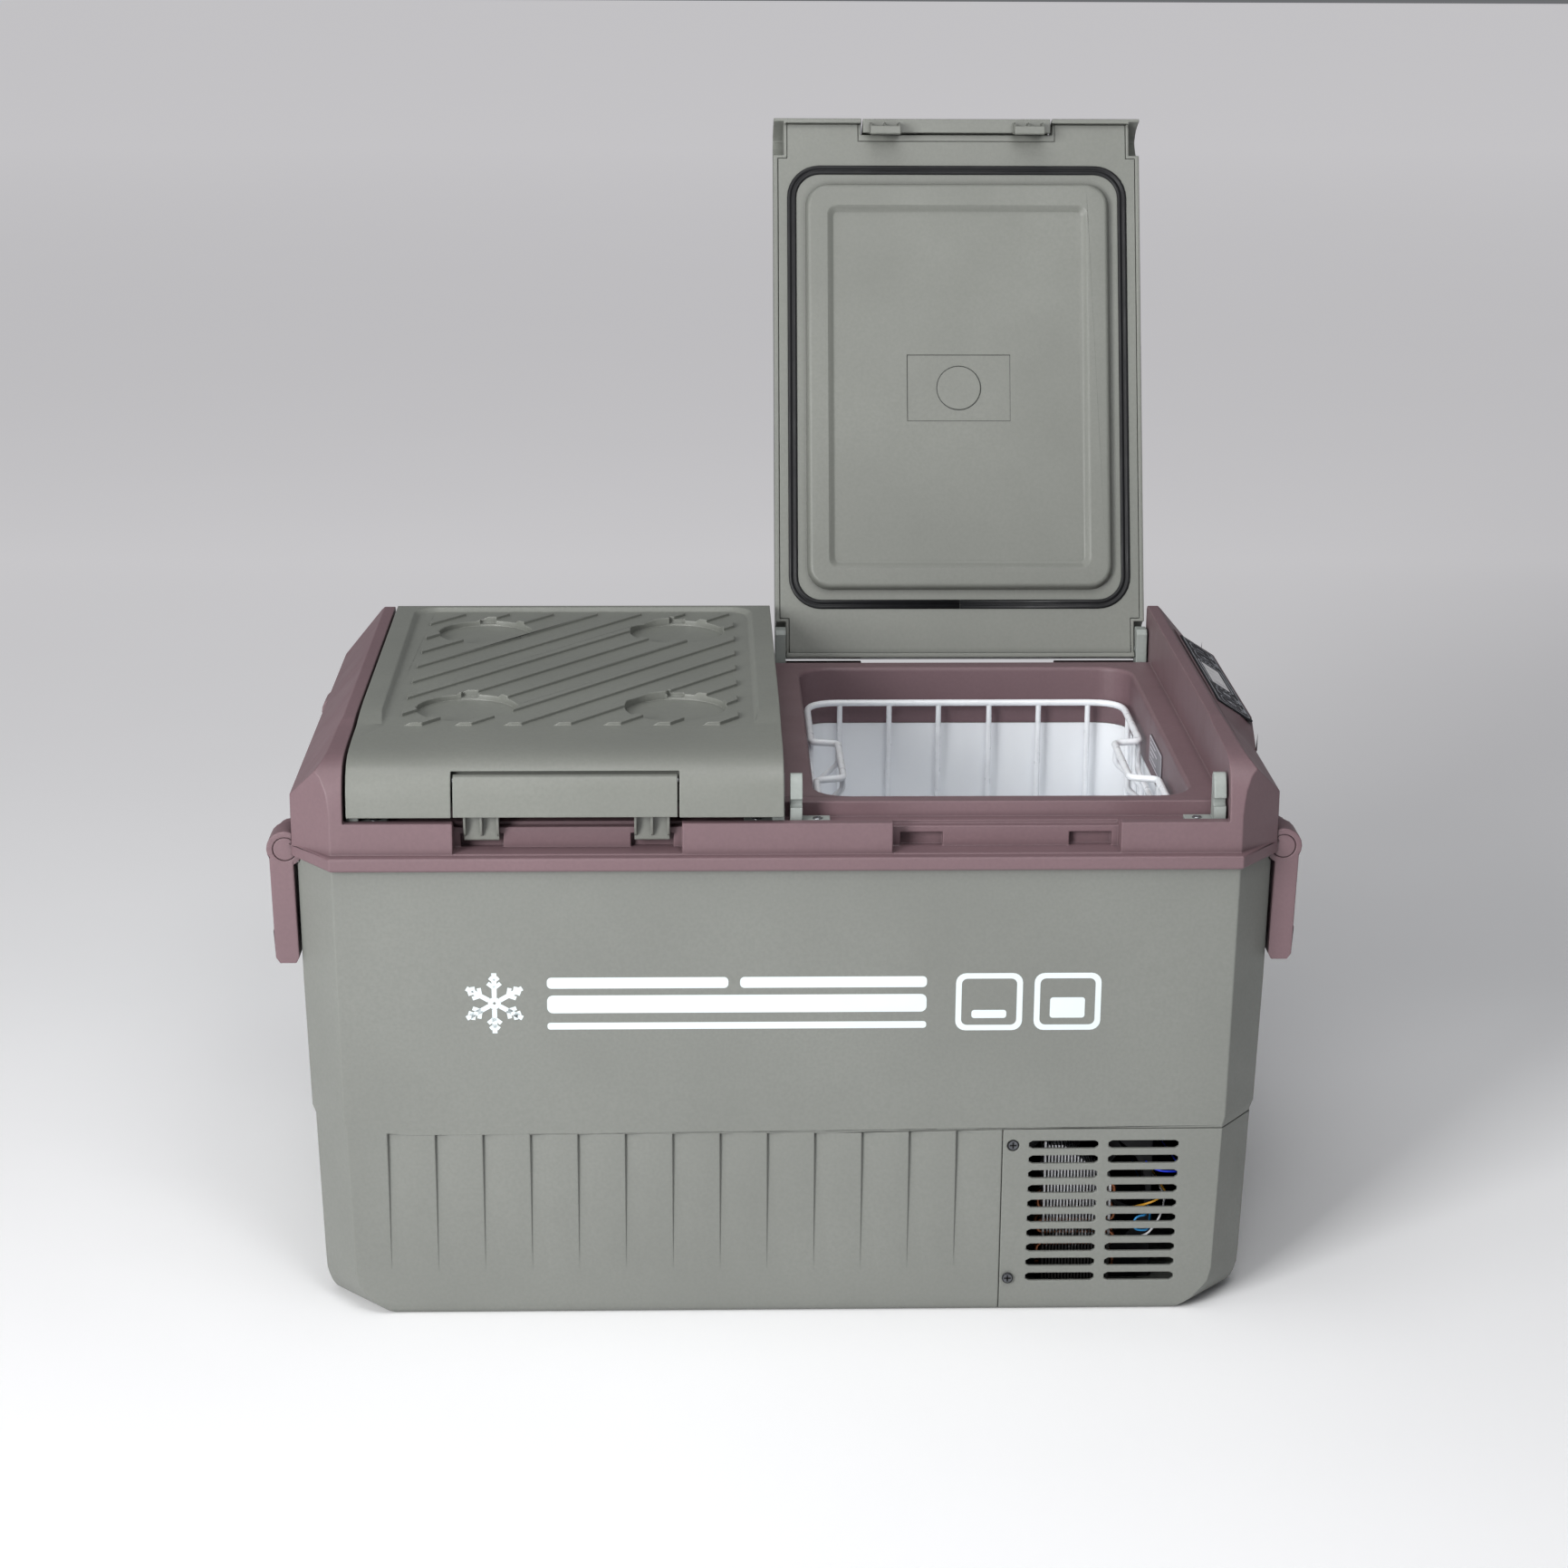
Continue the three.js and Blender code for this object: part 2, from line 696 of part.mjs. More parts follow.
function bandRing() {
  const outer = loft([
    octagon({ ...BAND, hx: BAND.hx - 1, hy: BAND.hy - 1.4 }, 0, BAND.z0),
    octagon(BAND, 0, BAND.z0 + 1.4),
    octagon(BAND, 0, BAND.z1 - 1),
    octagon({ ...BAND, hx: BAND.hx - 0.8, hy: BAND.hy - 1 }, 0, BAND.z1),
  ]);
  const inner = roundedBlock(-307, 307, -203, 203, 300, 380, 12, 3);
  return cut(outer, inner);
}

function deck() {
  const plateau = box(-SHOULDER_IN_X - 5, SHOULDER_IN_X + 5, -DECK_HALF_Y, DECK_HALF_Y, 364, DECK_Z);
  const troughs = box(-SHOULDER_IN_X - 5, SHOULDER_IN_X + 5, -213, 213, 354, TROUGH_Z);
  const step = box(-SHOULDER_IN_X - 5, SHOULDER_IN_X + 5, -DECK_HALF_Y, DECK_HALF_Y, 354, 366);
  const hollow = box(-SHOULDER_IN_X, SHOULDER_IN_X, -DECK_HALF_Y + 4, DECK_HALF_Y - 4, 340, 364);
  return cut(union(plateau, troughs, step), hollow);
}

function throat(sign) {
  const outline = compartmentOutline(sign, -OPENING.wall, OPENING.corner + OPENING.wall);
  return extrudeZ(outline, OPENING.throatZ, 366);
}

function throatOpening(sign) {
  const straight = extrudeZ(compartmentOutline(sign, 0, OPENING.corner), 300, 400);
  const lip = loft([
    compartmentOutline(sign, 0, OPENING.corner).map(([x, y]) => [x, y, DECK_Z - 3.2]),
    compartmentOutline(sign, -0.8, OPENING.corner + 0.8).map(([x, y]) => [x, y, DECK_Z - 1.1]),
    compartmentOutline(sign, -2.4, OPENING.corner + 2.4).map(([x, y]) => [x, y, DECK_Z + 0.1]),
  ]);
  return [straight, lip];
}

// an ear on each side of the frame carries the round stub that the handle's arm turns on
function handleStubs() {
  const above = box(-400, 400, -300, 300, BODY_TOP + GAP, 400);
  const ear = cylinder("y", 148, HANDLE.y0 - 0.6, HANDLE.x, HANDLE.z, 9.6, 20);
  const web = box(330, HANDLE.x, 148, HANDLE.y0 - 0.6, 333, 343);
  const stub = cylinder("y", 150, HANDLE.y1 - 0.2, HANDLE.x, HANDLE.z, HANDLE.stubR, 24);
  const rear = union(common(union(ear, web), above), stub);
  const right = union(rear, mirrorY(rear));
  return [right, mirrorX(right)];
}

function upperFrame() {
  const right = common(shoulder(), framePlan(300, 420));
  const walls = frontWall();
  const solid = union(
    bandRing(),
    right,
    mirrorX(right),
    walls,
    mirrorY(walls),
    deck(),
    throat(-1),
    throat(1),
    controlPod(),
  );
  const recesses = frontRecesses();
  const openings = [...throatOpening(-1), ...throatOpening(1), ...panelPockets(), ...handleNotches()];
  const opened = cut(solid, openings, recesses, recesses.map(mirrorY));
  return union(opened, handleStubs());
}

function interiorLabel() {
  const wallX = LID_CENTRE + OPENING.halfX;
  return extrudeX(roundedOutline(-32, 30, 335, 356, 2, 3), wallX - 0.9, wallX - 0.3);
}

// ---- hinge brackets -----------------------------------------------------------------------------
// an upright with a screwed foot; dir is +1 or -1 for the side of the lid it stands on
function hingeBracket(lidCentre, dir, end) {
  const inX = NOTCH_IN + GAP;
  const outX = 148;
  const span = (a, b) => [Math.min(a, b), Math.max(a, b)];
  const [x0, x1] = span(lidCentre + dir * inX, lidCentre + dir * outX);
  const back = [
    [201.2, 393.8],
    [198.2, 390.6],
    [198.2, TROUGH_Z + 0.3],
    [212, TROUGH_Z + 0.3],
  ];
  const rearFace = [
    [212, 364],
    [214.4, 366.4],
    [214.4, 390.6],
    [211.6, 393.8],
  ];
  const frontFace = [
    [212.2, 376],
    [209.6, 386],
    [206.6, 391.6],
    [203.8, 393.8],
  ];
  const upright = extrudeX([...back, ...(end > 0 ? rearFace : frontFace)], x0, x1);
  const [f0, f1] = span(lidCentre + dir * (inX - 19), lidCentre + dir * (inX + 1));
  const foot = box(f0, f1, 198.2, 212, TROUGH_Z + 0.3, TROUGH_Z + 3.4);
  const bore = cylinder("x", x0 - 1, x1 + 1, HINGE_Y, HINGE_Z, 3.15, 12);
  const solid = cut(union(upright, foot), bore);
  return end > 0 ? solid : mirrorY(solid);
}

function hingePin(lidCentre, dir) {
  const a = lidCentre + dir * 148;
  const b = lidCentre + dir * (NOTCH_RIM.x + 0.7);
  return cylinder("x", Math.min(a, b), Math.max(a, b), HINGE_Y, HINGE_Z, 3, 12);
}

// ---- lid, in its closed position ----------------------------------------------------------------
function lidShell(centre) {
  const x0 = centre - LID_HALF_W;
  const x1 = centre + LID_HALF_W;
  const profile = waterfall(0, LID_SKIRT_Z);
  const outer = extrudeX(profile, x0, x1);
  const seat = box(x0 + 3.4, x1 - 3.4, -214.2, 214.2, 360, PANEL_TOP_Z + 0.3);
  const sides = cut(seat, lidCorners(centre, 0.4));
  const rims = box(x0 - 1, x1 + 1, -213.8, 213.8, 360, LID_UNDER_Z);
  const cavity = box(x0 + 5, x1 - 5, -182, 182, 360, LID_CAVITY_TOP);
  const cavityEnds = box(x0 + 28, x1 - 28, -199, 199, 360, 393);
  const slots = [-1, 1].flatMap((dir) => [frontSlot(centre, dir), bracketSlot(centre, dir, 1)]);
  const bores = [-1, 1].map((dir) => {
    const a = centre + dir * (NOTCH_RIM.x + 0.2);
    const b = centre + dir * 150;
    return cylinder("x", Math.min(a, b), Math.max(a, b), HINGE_Y, HINGE_Z, 3.2, 12);
  });
  const cups = CUPS.map((cup) => cupCut(centre, cup, TREAD_FLOOR_Z));
  const hollow = cut(outer, sides, rims, cavity, cavityEnds, slots, bores, treadField(centre));
  return cut(union(hollow, treadRibs(centre)), cups, latchPocket(centre));
}

// room for a bracket, round the hinge line at the rear or its mirror image at the front
function bracketSlot(centre, dir, end) {
  const a = centre + dir * NOTCH_IN;
  const b = centre + dir * (LID_HALF_W + 5);
  return cylinder("x", Math.min(a, b), Math.max(a, b), end * HINGE_Y, HINGE_Z, NOTCH_R, 28);
}

function frontSlot(centre, dir) {
  const behindSkin = extrudeX(waterfall(-LID_SKIN, 340), centre - 160, centre + 160);
  return common(bracketSlot(centre, dir, -1), behindSkin);
}

// the sunken tread area of the lid: a flat floor, four cup rings and slanting ribs standing on the floor
const TREAD = {
  depth: 3.6,
  ribHeight: 2.3,
  cupDepth: 4.2,
  cupRadius: 36,
  frontY: -133,
  ribFrontY: -131,
  rearY: 203,
  border: 19,
  corner: 18,
  slope: 5,
  ribWidth: 12,
  ribSlope: 3.5,
  ribPitch: 34.5,
  ribAngle: 52,
};
const CUPS = [
  [-74, 140],
  [74, 140],
  [-74, -83],
  [74, -83],
];

function treadOutline(centre, grow, z) {
  const half = LID_HALF_W - TREAD.border + grow;
  const { corner, frontY, rearY } = TREAD;
  const rear = rearY + grow;
  return [
    [-half, frontY],
    [half, frontY],
    ...arcPoints(half - corner, rear - corner, corner, 0, 90, 4),
    ...arcPoints(-half + corner, rear - corner, corner, 90, 180, 4),
  ].map(([x, y]) => [x + centre, y, z]);
}

function cupCut(centre, [x, y], floorZ) {
  const bottom = floorZ - TREAD.cupDepth;
  const round = cylinder("z", bottom, LID_TOP + 5, centre + x, y, TREAD.cupRadius, 28);
  const notch = box(centre + x - 6, centre + x + 6, y + 30, y + 39.5, bottom + 1.6, LID_TOP + 5);
  return union(round, notch);
}

// one rib: a steep side to the right and an easy slope to the left, running back at an angle
function treadRib(x, floorZ) {
  const slant = 1 / Math.tan(THREE.MathUtils.degToRad(TREAD.ribAngle));
  const section = (y) => {
    const shift = x + (y - TREAD.ribFrontY) * slant;
    const top = floorZ + TREAD.ribHeight;
    return [
      [shift, y, floorZ - 1],
      [shift + TREAD.ribWidth, y, floorZ - 1],
      [shift + TREAD.ribWidth, y, top],
      [shift + TREAD.ribSlope, y, top],
      [shift, y, floorZ + 0.4],
    ];
  };
  return loftY([section(TREAD.ribFrontY), section(192)]);
}

const TREAD_FLOOR_Z = LID_TOP - TREAD.depth;

function treadField(centre) {
  return loft([
    treadOutline(centre, 0, TREAD_FLOOR_Z),
    treadOutline(centre, TREAD.slope * 0.25, TREAD_FLOOR_Z + 0.5),
    treadOutline(centre, TREAD.slope * 0.75, LID_TOP - 0.6),
    treadOutline(centre, TREAD.slope, LID_TOP + 0.1),
    treadOutline(centre, TREAD.slope + 0.1, LID_TOP + 5),
  ]);
}

function treadRibs(centre) {
  const inner = box(centre - 118, centre + 118, -140, 191, TREAD_FLOOR_Z - 0.8, LID_TOP);
  const first = centre - 114 - 7 * TREAD.ribPitch;
  const ribs = Array.from({ length: 16 }, (_, i) => treadRib(first + i * TREAD.ribPitch, TREAD_FLOOR_Z));
  return common(union(ribs), inner);
}

function latchPocket(centre) {
  return box(centre - 76.9, centre + 76.9, -240, -204, 340, 397.6);
}

// the four corners of the lid, which hold the hinge pins and have the bracket slots in them
function lidCorners(centre, inset) {
  return [-1, 1].flatMap((dir) =>
    [-1, 1].map((end) => cornerBox(centre, dir, end, NOTCH_RIM.x + inset, NOTCH_RIM.y + inset)),
  );
}

function cornerBox(centre, dir, end, fromX, fromY) {
  const [x0, x1] = [centre + dir * fromX, centre + dir * 160].sort((a, b) => a - b);
  const [y0, y1] = [end * fromY, end * 230].sort((a, b) => a - b);
  return box(x0, x1, y0, y1, 355, 380);
}

// rings of the moulded inner panel: half width, front and rear edge, corner radius and height
const PANEL_RAISED = [
  { half: 117.6, y0: -160.6, y1: 158.6, corner: 14, z: 363.4 },
  { half: 119.4, y0: -162.4, y1: 160.4, corner: 15.8, z: 363.9 },
  { half: 120.7, y0: -163.7, y1: 161.7, corner: 17.1, z: 365.2 },
  { half: 121.6, y0: -164.6, y1: 162.6, corner: 18, z: 368 },
  { half: 122.4, y0: -165.4, y1: 163.4, corner: 18.8, z: LID_UNDER_Z + 1 },
];
const PANEL_SUNKEN = [
  { half: 105.4, y0: -146.9, y1: 147.1, corner: 8, z: 362 },
  { half: 104.4, y0: -145.9, y1: 146.1, corner: 7, z: 363.6 },
  { half: 102.9, y0: -144.4, y1: 144.6, corner: 5.6, z: 364.4 },
  { half: 100.6, y0: -142.1, y1: 142.3, corner: 4.2, z: 366.2 },
  { half: 99.2, y0: -140.7, y1: 140.9, corner: 3.4, z: 366.6 },
];

function steppedRings(centre, rings) {
  return rings.map(({ half, y0, y1, corner, z }) =>
    roundedOutline(centre - half, centre + half, y0, y1, corner, 5).map(([x, y]) => [x, y, z]),
  );
}

function lidPanel(centre) {
  const x0 = centre - LID_HALF_W + 3.8;
  const x1 = centre + LID_HALF_W - 3.8;
  const plate = box(x0, x1, -205.4, 213.8, LID_UNDER_Z, PANEL_TOP_Z);
  const stripGroove = cut(
    box(centre - 79.6, centre + 79.6, -230, -199.8, 370, LID_UNDER_Z + 0.5),
    box(centre - 79, centre + 79, -230, -200.4, 369, 373),
  );
  const frontEars = [-1, 1].map((dir) => {
    const a = centre + dir * 77.5;
    const b = centre + dir * (LID_HALF_W - 3.8);
    return box(Math.min(a, b), Math.max(a, b), -213.8, -204, LID_UNDER_Z, PANEL_TOP_Z);
  });
  const raised = loft(steppedRings(centre, PANEL_RAISED));
  const sunken = loft(steppedRings(centre, PANEL_SUNKEN));
  const badge = cylinder("z", 365, 369, centre, 1.2, 17.4, 32);
  const seat = box(centre - 41.4, centre + 41.4, -25.6, 28, 366, 367.1);
  return cut(union(plate, frontEars, raised), sunken, cut(seat, badge), stripGroove, lidCorners(centre, 0));
}

function lidFoam(centre) {
  const x0 = centre - LID_HALF_W + 5.4;
  const x1 = centre + LID_HALF_W - 5.4;
  const low = PANEL_TOP_Z + 0.4;
  return union(
    box(x0, x1, -181.6, 181.6, low, LID_CAVITY_TOP - 0.4),
    box(x0 + 23, x1 - 23, -198.6, 198.6, low, 392.6),
  );
}

function lidGasket(centre) {
  const ring = (inset, corner) =>
    roundedOutline(centre - 137.6 + inset, centre + 137.6 - inset, -181 + inset, 179.4 - inset, corner, 5);
  const base = extrudeZ(ring(0.8, 26), LID_UNDER_Z - 0.9, LID_UNDER_Z - 0.05);
  const hole = extrudeZ(ring(8.2, 19), 360, 380);
  const split = box(centre - 0.25, centre + 0.25, 160, 190, 360, 380);
  return cut(base, hole, split);
}

// ---- latch --------------------------------------------------------------------------------------
const LATCH = { half: 75.6, y: -209.3, z: 391.2, low: 367.6 };

// a curved plate with a deep lower edge, turning on a pin along its top
function latch(centre) {
  const outline = [
    [-217.6, LATCH.low],
    [-217, 376],
    [-215.4, 386],
    [-213.4, 391.6],
    [-211.8, 394.4],
    [-208.6, 395.4],
    [-205.6, 393.6],
    [-205, 390.6],
    [-207, 387.4],
    [-210.8, 385],
    [-212.6, 376],
    [-213, 371],
    [-206.4, 370.4],
    [-206.4, LATCH.low],
  ];
  const plate = extrudeX(outline, centre - LATCH.half, centre + LATCH.half);
  const claws = CLAWS.map((dx) => claw(centre + Math.sign(centre) * dx));
  const bore = cylinder("x", centre - 90, centre + 90, LATCH.y, LATCH.z, 1.75, 12);
  return cut(union(plate, claws), bore);
}

// a flat arm with a hook on its inner side and three tapering ribs on its outer side
function claw(x) {
  const arm = [
    [-207.2, 369],
    [-207.2, 349],
    [-206.4, 348.2],
    [-201, 348.2],
    [-200.4, 349],
    [-200.4, 351.4],
    [-204.7, 351.8],
    [-204.7, 366],
    [-206.6, 369],
  ];
  const rib = [
    [-214, 369],
    [-212.6, 360],
    [-209.4, 353],
    [-206.8, 351.4],
    [-206.8, 369],
  ];
  const ribs = [-11.2, 0, 11.2].map((dx) => extrudeX(rib, x + dx - 0.8, x + dx + 0.8));
  return union(extrudeX(arm, x - 12, x + 12), ribs);
}

function latchPin(centre) {
  return cylinder("x", centre - 76.4, centre + 76.4, LATCH.y, LATCH.z, 1.5, 12);
}

// ---- handles ------------------------------------------------------------------------------------
function handle() {
  const { x, z, bossR, y0, y1, low, gripTop } = HANDLE;
  const armOutline = [
    [337.2, z],
    [335.4, low + 4],
    [337.6, low],
    [348.6, low],
    [351.4, low + 4],
    [353.4, z - 4],
    [x, z],
  ];
  const arms = [
    [y0, y1],
    [-y1, -y0],
  ].flatMap(([a, b]) => [extrudeY(armOutline, a, b), cylinder("y", a, b, x, z, bossR, 20)]);
  const gripOutline = [
    [335.4, low + 4],
    [337.6, low],
    [348.6, low],
    [351.4, low + 4],
    [352.2, gripTop - 4],
    [349.4, gripTop],
    [338.4, gripTop],
    [336.2, gripTop - 4],
  ];
  const grip = extrudeY(gripOutline, -y1 + 1, y1 - 1);
  const bore = cylinder("y", -y1 - 5, y1 + 5, x, z, 8.45, 20);
  return cut(union(arms, grip), bore);
}

// ---- machinery ----------------------------------------------------------------------------------
function compressor() {
  const centre = [262, -20];
  const profile = [
    [0, 0],
    [34, 0],
    [42, 8],
    [44, 20],
    [44, 62],
    [40, 74],
    [26, 84],
    [0, 88],
  ].map(([r, z]) => new THREE.Vector2(r, z));
  const geometry = new THREE.LatheGeometry(profile, 18);
  geometry.rotateX(Math.PI / 2);
  geometry.translate(centre[0], centre[1], 14);
  const can = toSolid(geometry);
  const seam = cylinder("z", 54, 58, centre[0], centre[1], 46.5, 18);
  const base = box(centre[0] - 56, centre[0] + 50, centre[1] - 34, centre[1] + 34, 12, 16);
  const feet = [-1, 1].flatMap((i) =>
    [-1, 1].map((j) => cylinder("z", FLOOR_T + GAP, 14, centre[0] - 3 + i * 44, centre[1] + j * 26, 7, 12)),
  );
  return union(can, seam, base, feet);
}

// flat tubes running up and down through a stack of thin fins
function condenser() {
  const x0 = 169;
  const x1 = 230;
  const fins = Array.from({ length: 10 }, (_, i) => box(x0, x1, -196, -172, 22 + i * 10, 23.4 + i * 10));
  const tubes = [x0 + 14, x1 - 14].map((x) => box(x - 4, x + 4, -190, -178, 15, 124));
  const manifolds = [14, 122].map((z) => box(x0, x1, -191, -177, z, z + 4));
  const foot = box(x0 + 4, x1 - 4, -190, -178, FLOOR_T + GAP, 15);
  return union(fins, tubes, manifolds, foot);
}

const FAN = { x: 212, z: 70, y0: -166, y1: -142 };

function fanShroud() {
  const { x, z, y0, y1 } = FAN;
  const block = box(x - 52, x + 52, y0, y1, FLOOR_T + GAP, z + 54);
  const duct = cylinder("y", y0 - 5, y1 + 5, x, z, 48, 32);
  const ring = cut(block, duct);
  const spokes = [0, 1, 2].map((i) => {
    const angle = (i * 2 * Math.PI) / 3 + Math.PI / 2;
    return bar([x, y1 - 2.5, z], [x + 50 * Math.cos(angle), y1 - 2.5, z + 50 * Math.sin(angle)], 4);
  });
  const motorPlate = cylinder("y", y1 - 4.5, y1 - 0.5, x, z, 16, 20);
  return union(ring, spokes, motorPlate);
}

function fanRotor() {
  const { x, z, y0, y1 } = FAN;
  const hub = cylinder("y", y0 + 2, y1 - 5.2, x, z, 15, 20);
  const blades = Array.from({ length: 7 }, (_, i) => {
    const geometry = new THREE.BoxGeometry(32, 15, 1.6);
    geometry.rotateX(0.6);
    geometry.translate(29, 0, 0);
    geometry.rotateY((i * 2 * Math.PI) / 7);
    geometry.translate(x, (y0 + y1 - 5) / 2, z);
    return toSolid(geometry);
  });
  return union(hub, blades);
}

function electronicsBox() {
  const base = roundedBlock(172, 262, 60, 150, FLOOR_T + GAP, 40, 4, 2);
  const fins = Array.from({ length: 9 }, (_, i) => box(178 + i * 9.6, 180 + i * 9.6, 66, 144, 38, 52));
  return union(base, fins);
}

function powerInlet() {
  const flange = roundedBlockY(280.8, 303.2, 215.5, 217.8, 37, 69, 4);
  const barrel = roundedBlockY(284, 300, 196, 216, 40.6, 65.4, 3);
  const socket = roundedBlockY(286.5, 297.5, 201, 225, 44, 62, 2);
  const pins = [48.5, 57.5].map((z) => cylinder("y", 199, 212, 292, z, 1.6, 10));
  return union(cut(union(flange, barrel), socket), pins);
}

function refrigerantLine() {
  const points = [
    [262, 22, 96],
    [262, 40, 116],
    [230, 58, 126],
    [176, 40, 126],
    [156, -10, 120],
    [156, -90, 114],
    [156, -150, 114],
    [158, -174, 114],
    [166, -184, 114],
  ];
  return tube(points, 3.2, 28, 6);
}

// ---- assembly -----------------------------------------------------------------------------------
function addPiece(group, name, solid, finish) {
  const mesh = new THREE.Mesh(toGeometry(solid), MATERIALS[finish]);
  mesh.name = name;
  group.add(mesh);
}

// the lid's geometry is built closed; the mesh is placed about the hinge line by the group's turn
function lidAssembly(side, centre) {
  const group = new THREE.Group();
  const pieces = [
    ["shell", lidShell(centre), "lid"],
    ["panel", lidPanel(centre), "lid"],
    ["foam", lidFoam(centre), "foam"],
    ["gasket", lidGasket(centre), "rubber"],
    ["latch", latch(centre), "lid"],
    ["latch_pin", latchPin(centre), "steel"],
  ];
  for (const [name, solid, finish] of pieces) {
    addPiece(group, `lid_${side}_${name}`, solid.translate([0, -HINGE_Y, -HINGE_Z]), finish);
  }
  for (const dir of [-1, 1]) {
    const inner = dir === -Math.sign(centre) ? "inner" : "outer";
    addPiece(
      group,
      `lid_${side}_hinge_pin_${inner}`,
      hingePin(centre, dir).translate([0, -HINGE_Y, -HINGE_Z]),
      "steel",
    );
  }
  group.position.set(0, HINGE_Y, HINGE_Z);
  return group;
}

function addBrackets(group, side, centre) {
  for (const [endName, end] of [
    ["front", -1],
    ["rear", 1],
  ]) {
    for (const dir of [-1, 1]) {
      const inner = dir === -Math.sign(centre) ? "inner" : "outer";
      addPiece(group, `bracket_${side}_${endName}_${inner}`, hingeBracket(centre, dir, end), "bracket");
    }
  }
}

function build() {
  const fridge = new THREE.Group();
  addPiece(fridge, "outer_shell", outerShell(), "body");
  addPiece(fridge, "insulation_foam", insulationFoam(), "foam");
  addPiece(fridge, "compressor_cover", compressorCover(), "body");
  addPiece(fridge, "cover_screw_upper", coverScrew(COVER_SCREWS[0]), "steel");
  addPiece(fridge, "cover_screw_lower", coverScrew(COVER_SCREWS[1]), "steel");
  addPiece(fridge, "bay_liner", bayLiner(), "galvanised");
  for (const [name, x, y] of footPositions()) {
    addPiece(fridge, `foot_${name}`, footPad(x, y), "rubber");
  }
  addPiece(fridge, "liner_left", liner(-1, LEFT_FLOOR_Z), "liner");
  addPiece(fridge, "liner_right", liner(1, RIGHT_FLOOR_Z), "liner");
  addPiece(fridge, "evaporator_left", evaporator(-1, LEFT_FLOOR_Z), "aluminium");
  addPiece(fridge, "evaporator_right", evaporator(1, RIGHT_FLOOR_Z), "aluminium");
  addPiece(fridge, "basket_left", basket(-1, LEFT_FLOOR_Z), "wire");
  addPiece(fridge, "basket_right", basket(1, RIGHT_FLOOR_Z), "wire");
  addPiece(fridge, "upper_frame", upperFrame(), "frame");
  addPiece(fridge, "interior_label", interiorLabel(), "wire");
  addPiece(fridge, "control_panel", controlPanel(), "panel");
  addPiece(fridge, "display_lens", displayLens(), "glass");
  BUTTON.centres.forEach((centre, i) => {
    addPiece(fridge, `button_${i + 1}`, panelButton(centre), "panel");
  });
  addBrackets(fridge, "left", -LID_CENTRE);
  addBrackets(fridge, "right", LID_CENTRE);
  addPiece(fridge, "handle_right", handle(), "frame");
  addPiece(fridge, "handle_left", mirrorX(handle()), "frame");
  addPiece(fridge, "compressor", compressor(), "blackSteel");
  addPiece(fridge, "condenser", condenser(), "aluminium");
  addPiece(fridge, "fan_shroud", fanShroud(), "blackPlastic");
  addPiece(fridge, "fan_rotor", fanRotor(), "blackPlastic");
  addPiece(fridge, "electronics_box", electronicsBox(), "aluminium");
  addPiece(fridge, "power_inlet", powerInlet(), "blackPlastic");
  addPiece(fridge, "refrigerant_line", refrigerantLine(), "copper");
  const leftLid = lidAssembly("left", -LID_CENTRE);
  const rightLid = lidAssembly("right", LID_CENTRE);
  rightLid.rotation.x = -THREE.MathUtils.degToRad(LID_OPEN_DEG);
  fridge.add(leftLid, rightLid);
  fridge.updateMatrixWorld(true);
  return fridge;
}

export default build();
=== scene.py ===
"""Looks of the dual-zone compressor cooler fridge: materials, fine pieces, camera, light and floor.

Metres, +Z up, front towards -Y. Fine pieces are drawn in millimetres, around the frame's nodes.
"""

import json
import math

import bmesh
import bpy
from mathutils import Matrix, Vector


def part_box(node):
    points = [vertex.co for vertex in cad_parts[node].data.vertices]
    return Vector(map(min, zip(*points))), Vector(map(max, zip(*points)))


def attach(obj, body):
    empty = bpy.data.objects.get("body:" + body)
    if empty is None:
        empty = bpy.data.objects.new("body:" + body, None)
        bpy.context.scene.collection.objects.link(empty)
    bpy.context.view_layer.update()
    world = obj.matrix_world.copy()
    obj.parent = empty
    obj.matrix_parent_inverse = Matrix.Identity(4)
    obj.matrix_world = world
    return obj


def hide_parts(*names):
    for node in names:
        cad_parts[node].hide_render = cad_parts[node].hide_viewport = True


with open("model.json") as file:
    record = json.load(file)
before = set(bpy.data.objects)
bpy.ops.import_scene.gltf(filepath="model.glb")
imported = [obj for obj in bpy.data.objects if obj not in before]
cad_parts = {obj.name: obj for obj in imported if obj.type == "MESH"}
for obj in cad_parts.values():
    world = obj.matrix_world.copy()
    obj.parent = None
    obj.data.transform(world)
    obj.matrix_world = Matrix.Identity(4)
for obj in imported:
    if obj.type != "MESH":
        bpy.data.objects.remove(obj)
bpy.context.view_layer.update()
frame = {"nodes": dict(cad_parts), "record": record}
NODES = frame["nodes"]
MM = 0.001


# ---- colours, as linear light ---------------------------------------------------------------------
def linear(red, green, blue):
    """A colour given as 0 to 255 screen values, as linear RGBA."""
    def channel(value):
        share = value / 255
        return share / 12.92 if share <= 0.04045 else ((share + 0.055) / 1.055) ** 2.4
    return (channel(red), channel(green), channel(blue), 1.0)


